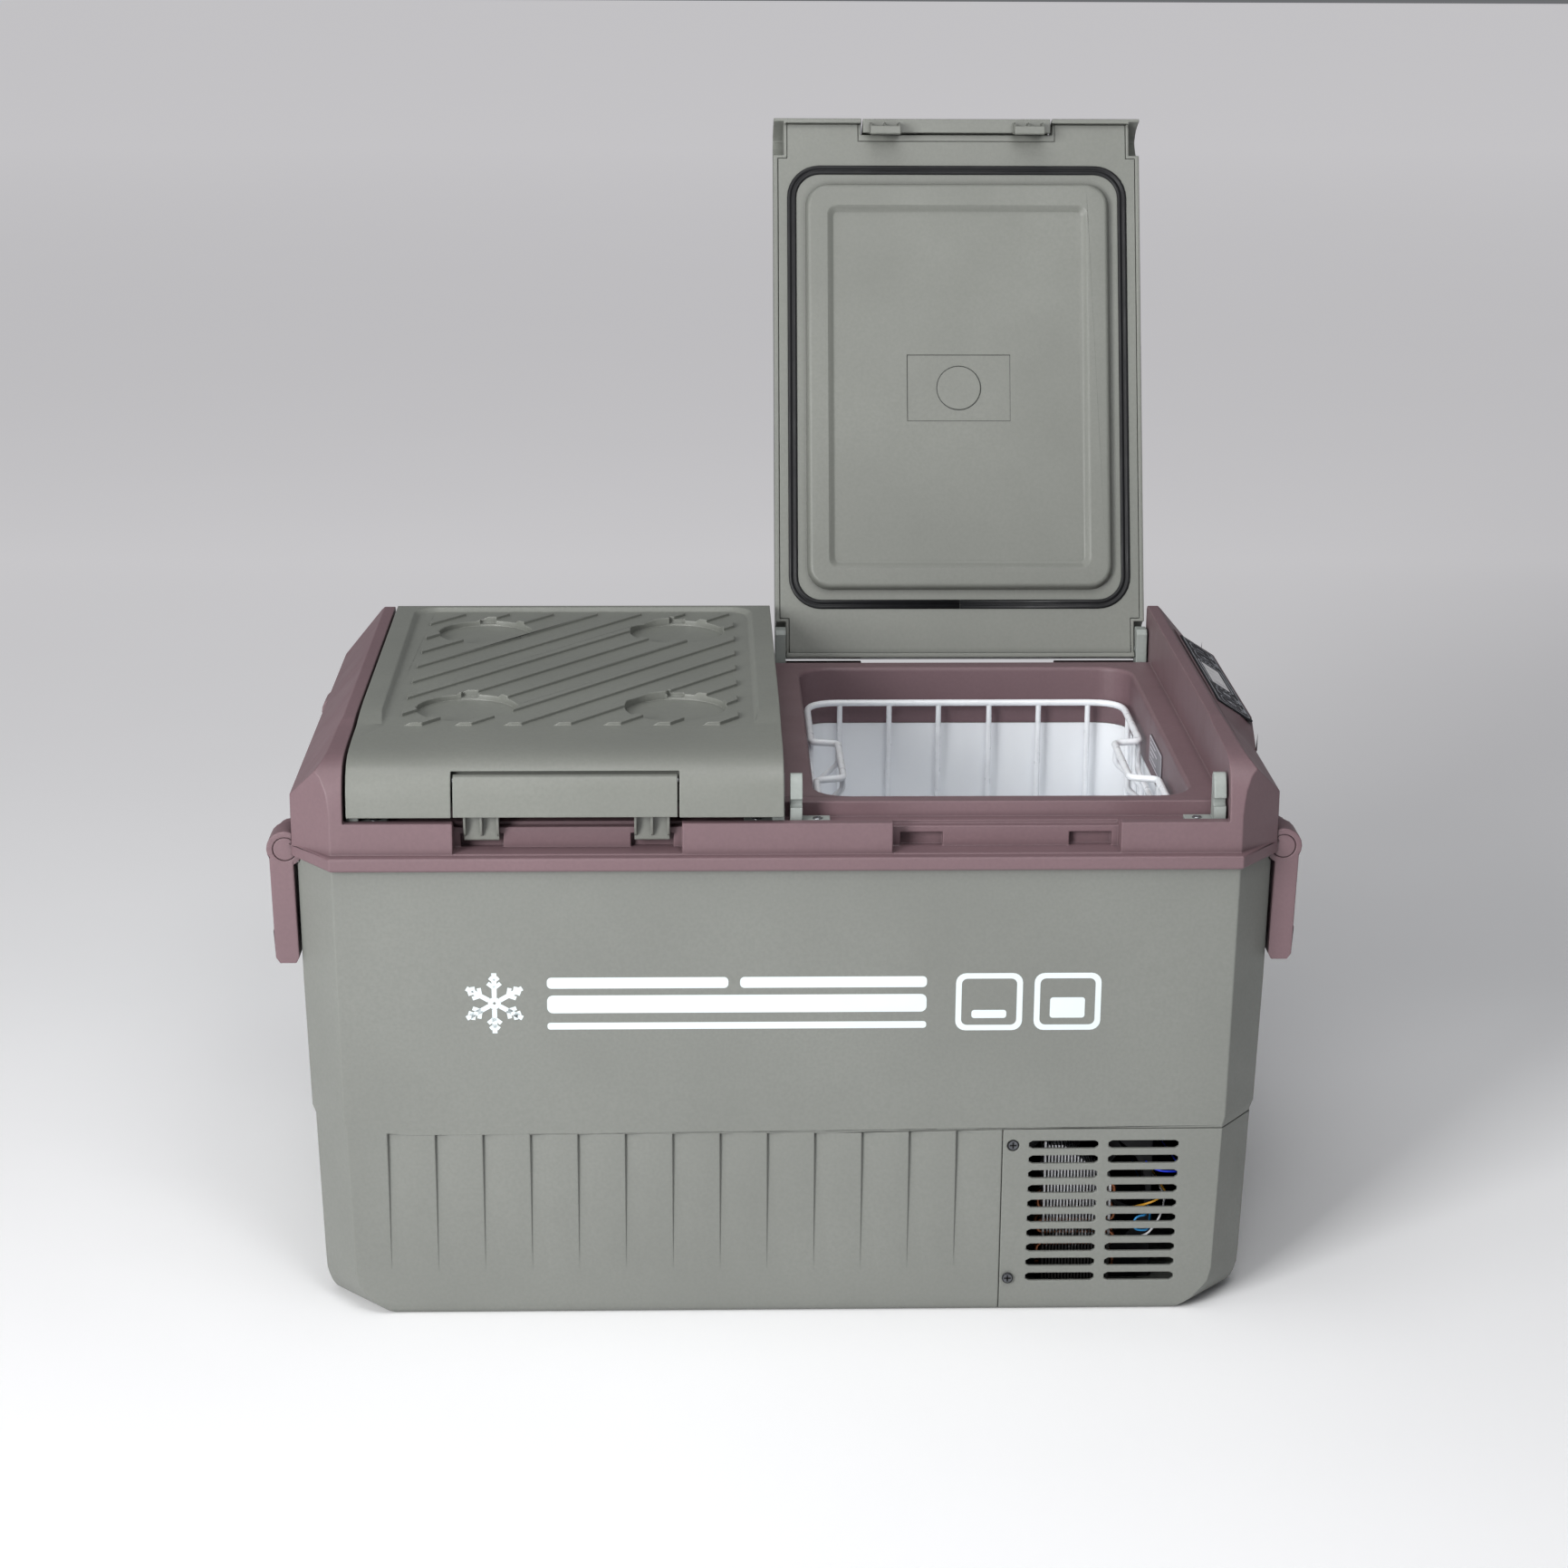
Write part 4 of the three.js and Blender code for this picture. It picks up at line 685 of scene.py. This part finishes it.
def add_refrigerant_line():
    line = [
        (262, 22, 96), (262, 40, 116), (230, 58, 126), (176, 40, 126), (156, -10, 120),
        (156, -90, 114), (156, -150, 114), (158, -174, 114), (166, -184, 114),
    ]
    tube = wire_curve("refrigerant_tube", [(soften(line, 16), False)], 3.2)
    place_piece(tube, "refrigerant_tube", "copper", "fridge", ["refrigerant_line"])


add_refrigerant_line()

# loose wires in the machinery bay behind the right-hand slots, each with its colour and its route
BAY_WIRES = {
    "blue": (
        linear(40, 70, 255),
        [
            (266, 62, 60), (282, -60, 70), (284, -180, 92),
            (277, -204, 101.5), (262, -204, 101.5), (256, -190, 103),
        ],
    ),
    "cyan": (
        linear(50, 150, 215),
        [
            (262, 66, 50), (264, -90, 52), (262, -180, 60), (257, -204, 56.3), (248, -204, 57),
            (246, -204, 62), (249, -204, 67.5), (255, -204, 68), (258, -190, 68),
        ],
    ),
    "yellow": (
        linear(225, 165, 50),
        [
            (256, 70, 52), (270, -80, 60), (272, -180, 76),
            (264, -204, 80.5), (256, -204, 77), (246, -190, 68),
        ],
    ),
    "white": (
        linear(225, 226, 228),
        [
            (250, 74, 54), (272, -100, 60), (272, -180, 72),
            (266, -205, 69), (258, -205, 55), (250, -190, 44),
        ],
    ),
}


def add_bay_wires():
    for name, (colour, line) in BAY_WIRES.items():
        curve = wire_curve("bay_wire_" + name, [(soften(line, 14), False)], 0.75, 2)
        sleeve = smooth_plastic("wire_sleeve_" + name, colour, rough=0.4)
        place_piece(curve, "bay_wire_" + name, "black_plastic", "fridge", material=sleeve)


add_bay_wires()


# flat marks: thin raised ink on a face, drawn in the face's own axes
INK_BASE = 0.02
INK_HEIGHT = 0.12


# the body's front leans out towards its top, a little less above the waist
WAIST_Z = 242
WAIST_Y = 220
LEAN_BELOW = 2.2 / 98.5
LEAN_ABOVE = 1.6 / 89.8


def front_face(x, z, lift=0.0):
    """A point on the body's front, lifted a little off it."""
    lean = LEAN_BELOW if z < WAIST_Z else LEAN_ABOVE
    return (x, -(WAIST_Y + (z - WAIST_Z) * lean) - lift, z)


PANEL_ORIGIN = Vector((327.6, 39, 397.15))
PANEL_V = Vector((0.8391, 0, -0.5439))
PANEL_NORMAL = Vector((0.5439, 0, 0.8391))
OVERLAY_HEIGHT = 0.5
BUTTON_HEIGHT = 0.62
BUTTON_U = (-78, -54, 54, 78)


def panel_face(u, v, lift=0.0):
    """A point on the control overlay: u along the shoulder, v down its slope."""
    return PANEL_ORIGIN + Vector((0, u, 0)) + PANEL_V * v + PANEL_NORMAL * (OVERLAY_HEIGHT + lift)


def slab(outline, face):
    """Vertices and faces of a thin plate with this outline on a face."""
    count = len(outline)
    vertices = [face(a, b, lift) for lift in (INK_BASE, INK_HEIGHT) for a, b in outline]
    sides = [(i, (i + 1) % count, count + (i + 1) % count, count + i) for i in range(count)]
    return vertices, [tuple(range(count)), tuple(range(count, 2 * count)), *sides]


def band(outer, inner, face, height=INK_HEIGHT):
    """A plate between two outlines of as many points."""
    count = len(outer)
    loops = [(outer, INK_BASE), (outer, height), (inner, height), (inner, INK_BASE)]
    vertices = [face(a, b, lift) for loop, lift in loops for a, b in loop]
    faces = []
    for r in range(4):
        a, b = r * count, ((r + 1) % 4) * count
        faces += [(a + i, a + (i + 1) % count, b + (i + 1) % count, b + i) for i in range(count)]
    return vertices, faces


def joined(shapes):
    vertices, faces = [], []
    for some_vertices, some_faces in shapes:
        base = len(vertices)
        vertices += some_vertices
        faces += [tuple(base + i for i in face) for face in some_faces]
    return vertices, faces


CORNER_STEPS = 5


def rounded(x0, x1, y0, y1, radius):
    """The outline of a rectangle with round corners."""
    outline = []
    for x, y, start in ((x1, y0, -90), (x1, y1, 0), (x0, y1, 90), (x0, y0, 180)):
        cx = x - radius if x == x1 else x + radius
        cy = y - radius if y == y1 else y + radius
        for k in range(CORNER_STEPS + 1):
            angle = math.radians(start + 90 * k / CORNER_STEPS)
            outline.append((cx + radius * math.cos(angle), cy + radius * math.sin(angle)))
    return outline


def frame_line(x0, x1, y0, y1, radii, width, face):
    """A line of even width round a rectangle, with its outer and inner corner radii."""
    outer = rounded(x0, x1, y0, y1, radii[0])
    inner = rounded(x0 + width, x1 - width, y0 + width, y1 - width, radii[1])
    return band(outer, inner, face)


def ring(x, y, radius, steps=28):
    angles = [2 * math.pi * k / steps for k in range(steps)]
    return [(x + radius * math.cos(a), y + radius * math.sin(a)) for a in angles]


def stroke(a, b, width):
    """A straight bar from a to b."""
    (ax, ay), (bx, by) = a, b
    length = math.hypot(bx - ax, by - ay)
    nx, ny = -(by - ay) / length * width / 2, (bx - ax) / length * width / 2
    return [(ax + nx, ay + ny), (ax - nx, ay - ny), (bx - nx, by - ny), (bx + nx, by + ny)]


def snowflake(x, y, size, width, face):
    """Six arms with two pairs of barbs each, around a small open ring."""
    shapes = [band(ring(x, y, size * 0.2), ring(x, y, size * 0.2 - width), face)]
    spot = Vector((x, y))
    for i in range(6):
        turn = math.radians(90 + 60 * i)
        along = Vector((math.cos(turn), math.sin(turn)))
        shapes.append(slab(stroke(spot + along * size * 0.2, spot + along * size, width), face))
        for start, reach in ((0.5, 0.26), (0.74, 0.18)):
            for lean in (-50, 50):
                arm = Vector((math.cos(turn + math.radians(lean)), math.sin(turn + math.radians(lean))))
                root = spot + along * size * start
                shapes.append(slab(stroke(root, root + arm * size * reach, width * 0.85), face))
    return shapes


BAR_LEFT = -164
BAR_RIGHT = 96

# plain bars: left, right, bottom, top and corner radius
FRONT_BARS = (
    (BAR_LEFT, BAR_RIGHT, 228, 241, 4),
    (BAR_LEFT, -40, 246, 254, 3),
    (-32, BAR_RIGHT, 246, 254, 3),
    (BAR_LEFT, BAR_RIGHT, 216, 221, 2),
)

# the two compartment squares: left edge, and the top of the filled part
COMPARTMENTS = ((116, 229), (170, 238))
SQUARE_WIDTH = 46
SQUARE_BOTTOM = 214
SQUARE_TOP = 256


def add_front_graphic():
    """White print on the front: a snowflake, plain bars, and two squares for the two compartments."""
    shapes = snowflake(x=-200, y=235.5, size=22, width=3.4, face=front_face)
    shapes += [slab(rounded(*bar), front_face) for bar in FRONT_BARS]
    for x0, fill_top in COMPARTMENTS:
        square = (x0, x0 + SQUARE_WIDTH, SQUARE_BOTTOM, SQUARE_TOP)
        shapes.append(frame_line(*square, (7, 4), 4, front_face))
        shapes.append(slab(rounded(x0 + 11, x0 + 35, 223, fill_top, 2), front_face))
    ink = printed_ink("front_ink", linear(222, 232, 234))
    mesh = mesh_of("front_graphic", *joined(shapes), smooth=False)
    place_piece(mesh, "front_graphic", "label_white", "fridge", material=ink)


def add_panel_marks():
    """Generic line symbols on the control overlay, without any wording."""
    shapes = [frame_line(-94, 94, -13.6, 13.6, (3, 2.6), 0.6, panel_face)]
    for u in BUTTON_U:
        shapes.append(frame_line(u - 9, u + 9, -9, 9, (3, 2.6), 0.6, panel_face))
        shapes.append(slab(rounded(u - 6, u + 6, 10.4, 11.8, 0.5), panel_face))
    shapes.append(frame_line(-33, 33, -10.6, 10.6, (2, 1.6), 0.8, panel_face))
    for u in (-39, 39):
        shapes += [slab(ring(u, v, 1.1, 12), panel_face) for v in (-6, -2, 2, 6)]
    ink = printed_ink("panel_ink", linear(176, 178, 186))
    mesh = mesh_of("panel_marks", *joined(shapes), smooth=False)
    place_piece(mesh, "panel_marks", "panel_overlay", "fridge", material=ink)


def button_face(centre):
    """The face of the button at this place along the panel, measured from the button's centre."""
    def face(a, b, lift=0.0):
        return panel_face(centre + a, b, lift + BUTTON_HEIGHT - OVERLAY_HEIGHT)
    return face


def button_symbols():
    """Symbol strokes for each button: power, two zones, plus and minus."""
    power_face, zone_face, plus_face, minus_face = (button_face(u) for u in BUTTON_U)
    upright = stroke((0, -3.2), (0, 3.2), 0.9)
    power = [
        band(ring(0, 0.6, 3.2), ring(0, 0.6, 2.5), power_face),
        slab(stroke((0, -4), (0, 0), 0.8), power_face),
    ]
    zones = [frame_line(a, a + 3.4, -3, 3, (0.6, 0.3), 0.6, zone_face) for a in (-4, 0.6)]
    plus = [slab(stroke((-3.2, 0), (3.2, 0), 0.9), plus_face), slab(upright, plus_face)]
    return {"button_1": power, "button_2": zones, "button_3": plus, "button_4": [slab(upright, minus_face)]}


def add_button_symbols():
    ink = printed_ink("button_ink", linear(186, 188, 194))
    for button, shapes in button_symbols().items():
        mesh = mesh_of(button + "_symbol", *joined(shapes), smooth=False)
        place_piece(mesh, button + "_symbol", "button_pad", button, material=ink)


SEAT_Z = 367.1
PLUG_Y = 1.2
PLATE_HALF = 41.2
PLATE_FRONT = -25.4
PLATE_REAR = 27.8


def add_badge_seams(side, turn):
    """The fine dark seams round the plug and the inset plate in the middle of a lid's underside."""
    middle = centre_of(f"lid_{side}_gasket").x

    def seat_face(a, b, lift=0.0):
        return (middle + a, b, SEAT_Z - lift)

    hx = PLATE_HALF
    corners = [(-hx, PLATE_FRONT), (hx, PLATE_FRONT), (hx, PLATE_REAR), (-hx, PLATE_REAR)]
    shapes = [band(ring(0, PLUG_Y, 17.95), ring(0, PLUG_Y, 17.42), seat_face, 0.2)]
    for i in range(4):
        shapes.append(slab(stroke(corners[i], corners[(i + 1) % 4], 0.4), seat_face))
    shade = rubber("badge_seam", linear(40, 42, 40), rough=0.8)
    mesh = mesh_of(f"badge_seams_{side}", *joined(shapes), smooth=False)
    place_piece(mesh, f"badge_seams_{side}", "lid_plastic", f"lid_{side}", turn=turn, material=shade)


def add_label_marks():
    """A printed border and blank lines on the small label in the right throat."""
    low, high = (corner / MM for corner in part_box("interior_label"))

    def face(y, z, lift=0.0):
        return (low.x - lift, y, z)

    edge = 0.6
    border = (low.y + edge, high.y - edge, low.z + edge, high.z - edge)
    shapes = [frame_line(*border, (1.6, 1.2), 0.9, face)]
    for i, width in enumerate((26, 34, 18, 30)):
        z = high.z - 5 - i * 3.8
        shapes.append(slab(rounded(high.y - 5 - width, high.y - 5, z - 0.5, z + 0.5, 0.3), face))
    ink = printed_ink("label_ink", linear(214, 208, 216))
    mesh = mesh_of("label_marks", *joined(shapes), smooth=False)
    place_piece(mesh, "label_marks", "label_white", "fridge", material=ink)


add_front_graphic()
add_panel_marks()
add_button_symbols()
add_label_marks()
add_badge_seams("left", STILL)
add_badge_seams("right", OPEN_LID)


# pan-head screws in the brackets' feet
SCREW_RADIUS = 3.3
SCREW_STEPS = 20
SCREW_INSET = 8.5
SCREW_Y = 205.1
BRACKET_FOOT_TOP = 362.65
LID_CENTRE = 149.9

# a head with a dished drive: share of the radius, and height
SCREW_PROFILE = ((1, 0.0), (1, 0.35), (0.86, 0.7), (0.5, 0.85), (0.34, 0.25))
SCREW_MIDDLE = (0.05, 0.2)


def screw_mesh(name, x, y, z):
    rings = [(SCREW_RADIUS * share, height) for share, height in SCREW_PROFILE] + [SCREW_MIDDLE]
    steps = SCREW_STEPS
    vertices, faces = [], []
    for r, height in rings:
        vertices += [(x + px, y + py, z + height) for px, py in ring(0, 0, r, steps)]
    for k in range(len(rings) - 1):
        a, b = k * steps, (k + 1) * steps
        faces += [(a + i, a + (i + 1) % steps, b + (i + 1) % steps, b + i) for i in range(steps)]
    faces.append(tuple(range(steps)))
    faces.append(tuple((len(rings) - 1) * steps + i for i in range(steps)))
    return mesh_of(name, vertices, faces)


def bracket_screw_place(name):
    """On a bracket's foot, a fixed way out from the side that is nearer to its lid's middle."""
    low, high = (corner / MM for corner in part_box(name))
    lid_centre = -LID_CENTRE if "_left_" in name else LID_CENTRE
    outward = 1 if (low.x + high.x) / 2 > lid_centre else -1
    inner = low.x if outward > 0 else high.x
    y = SCREW_Y if (low.y + high.y) > 0 else -SCREW_Y
    return inner + outward * SCREW_INSET, y, BRACKET_FOOT_TOP


def add_bracket_screws():
    for name in NODES:
        if name.startswith("bracket_"):
            mesh = screw_mesh(name + "_screw", *bracket_screw_place(name))
            place_piece(mesh, name + "_screw", "steel", "fridge")


add_bracket_screws()


def add_cover_screws():
    """Dark metal on the cover's two screws, with painted shade as a black cross in each head's drive and a
    painted shadow as a black ring round it.
    """
    dark = metal("black_screw", linear(104, 106, 110), rough=0.3, stain=0.3)
    screw_shade_paint = rubber("painted_screw_shade", linear(8, 8, 9))
    for name in ("cover_screw_upper", "cover_screw_lower"):
        NODES[name].data.materials[0] = dark
        low, high = (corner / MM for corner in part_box(name))
        x, z = (low.x + high.x) / 2, (low.z + high.z) / 2

        def head_face(a, b, lift=0.0):
            return (x + a, low.y + 0.02 - lift, z + b)

        # painted shade: a black cross over the head's drive
        bars = (stroke((-2.4, 0), (2.4, 0), 1.2), stroke((0, -2.4), (0, 2.4), 1.2))
        cross = [slab(bar, head_face) for bar in bars]
        # painted shadow: a black ring round the head
        cross.append(band(ring(0, 0, 3.8), ring(0, 0, 3.2), head_face))
        mesh = mesh_of(name + "_cross", *joined(cross), smooth=False)
        place_piece(mesh, name + "_cross", "black_plastic", "fridge", material=screw_shade_paint)


add_cover_screws()


# ---- camera, light and floor ------------------------------------------------------------------------
CAMERA_PLACE = Vector((-0.0639, -2.3445, 1.0226))
CAMERA_PITCH = math.radians(16.54)
CAMERA_YAW = math.radians(-1.65)
CAMERA_ROLL = math.radians(0.31)
SENSOR_WIDTH = 36
LENS = 75.75203


def add_camera():
    turn = Matrix.Rotation(CAMERA_YAW, 3, "Z") @ Matrix.Rotation(-CAMERA_PITCH, 3, "X")
    forward = turn @ Vector((0, 1, 0))
    right = turn @ Vector((1, 0, 0))
    up = turn @ Vector((0, 0, 1))
    side = right * math.cos(CAMERA_ROLL) + up * math.sin(CAMERA_ROLL)
    top = up * math.cos(CAMERA_ROLL) - right * math.sin(CAMERA_ROLL)
    data = bpy.data.cameras.new("camera")
    data.sensor_width = SENSOR_WIDTH
    data.lens = LENS
    data.clip_start = 0.05
    data.clip_end = 60
    camera = bpy.data.objects.new("camera", data)
    bpy.context.scene.collection.objects.link(camera)
    basis = Matrix((side, top, -forward)).transposed().to_4x4()
    camera.matrix_world = Matrix.Translation(CAMERA_PLACE) @ basis
    bpy.context.scene.camera = camera


def add_area_light(name, place, target, size, power):
    data = bpy.data.lights.new(name, "AREA")
    data.shape = "RECTANGLE"
    data.size, data.size_y = size
    data.energy = power
    light = bpy.data.objects.new(name, data)
    bpy.context.scene.collection.objects.link(light)
    light.location = place
    light.rotation_mode = "QUATERNION"
    light.rotation_quaternion = (Vector(target) - Vector(place)).to_track_quat("-Z", "Y")


def add_world(strength):
    world = bpy.data.worlds.new("studio")
    bpy.context.scene.world = world
    world.use_nodes = True
    background = world.node_tree.nodes["Background"]
    background.inputs["Color"].default_value = (0.93, 0.95, 1.0, 1.0)
    background.inputs["Strength"].default_value = strength


FLOOR_REACH = 16.0
# where the floor's painted shade starts and where it is full
FADE_START = 0.45
FADE_END = 2.2
# strength of the floor's painted glow, behind the fridge and far off
GLOW_BEHIND = 0.29
GLOW_FAR = 0.13


def floor_material():
    """White paper with painted shade that turns it grey behind the fridge, and a faint painted glow there.
    """
    white, painted_shade_grey, stain = (0.99, 0.99, 1.0, 1), (0.80, 0.79, 0.80, 1), (0.5, 0.5, 0.5, 1)
    s = Shader("paper_floor")
    place = s.add("ShaderNodeSeparateXYZ", Vector=s.place).outputs
    # painted shade: the floor greys with distance behind the fridge, standing in for the light's falloff
    painted_falloff = s.remap(place["Y"], FADE_START, FADE_END)
    base = s.mix(s.remap(s.noise(3.0, 3.0), 0.3, 0.7, 0.0, 0.04), s.mix(painted_falloff, white, painted_shade_grey), stain)
    # painted light: the far floor glows, though it is no lamp
    painted_glow = s.math("MULTIPLY", painted_falloff, GLOW_BEHIND)
    painted_glow = s.math("ADD", painted_glow, s.remap(place["Y"], 2.0, 8.0, 0.0, GLOW_FAR))
    s.feed(s.surface.inputs["Emission Strength"], painted_glow)
    s.surface.inputs["Emission Color"].default_value = (1.0, 0.98, 1.0, 1)
    shine = s.remap(s.noise(400.0, 3.0), 0.3, 0.7, 0.8, 0.95)
    return s.finish(base, shine, s.bump(s.noise(700.0, 3.0), 0.2, 0.1 * MM))


def add_floor():
    r = FLOOR_REACH
    mesh = bpy.data.meshes.new("floor")
    mesh.from_pydata([(-r, -r, 0), (r, -r, 0), (r, r, 0), (-r, r, 0)], [], [(0, 1, 2, 3)])
    floor = bpy.data.objects.new("floor", mesh)
    bpy.context.scene.collection.objects.link(floor)
    mesh.materials.append(floor_material())


add_camera()
add_world(0.16)
add_area_light("key", (-2.05, -2.75, 1.4), (0.0, 0.0, 0.25), (1.2, 1.6), 116)
add_area_light("top", (-0.3, -0.9, 3.0), (-0.1, -0.7, 0.0), (2.4, 2.0), 33)
add_area_light("inside", (0.30, -1.3, 1.7), (0.15, 0.12, 0.38), (0.5, 0.5), 6)
add_floor()
bpy.context.scene.view_settings.view_transform = "Standard"
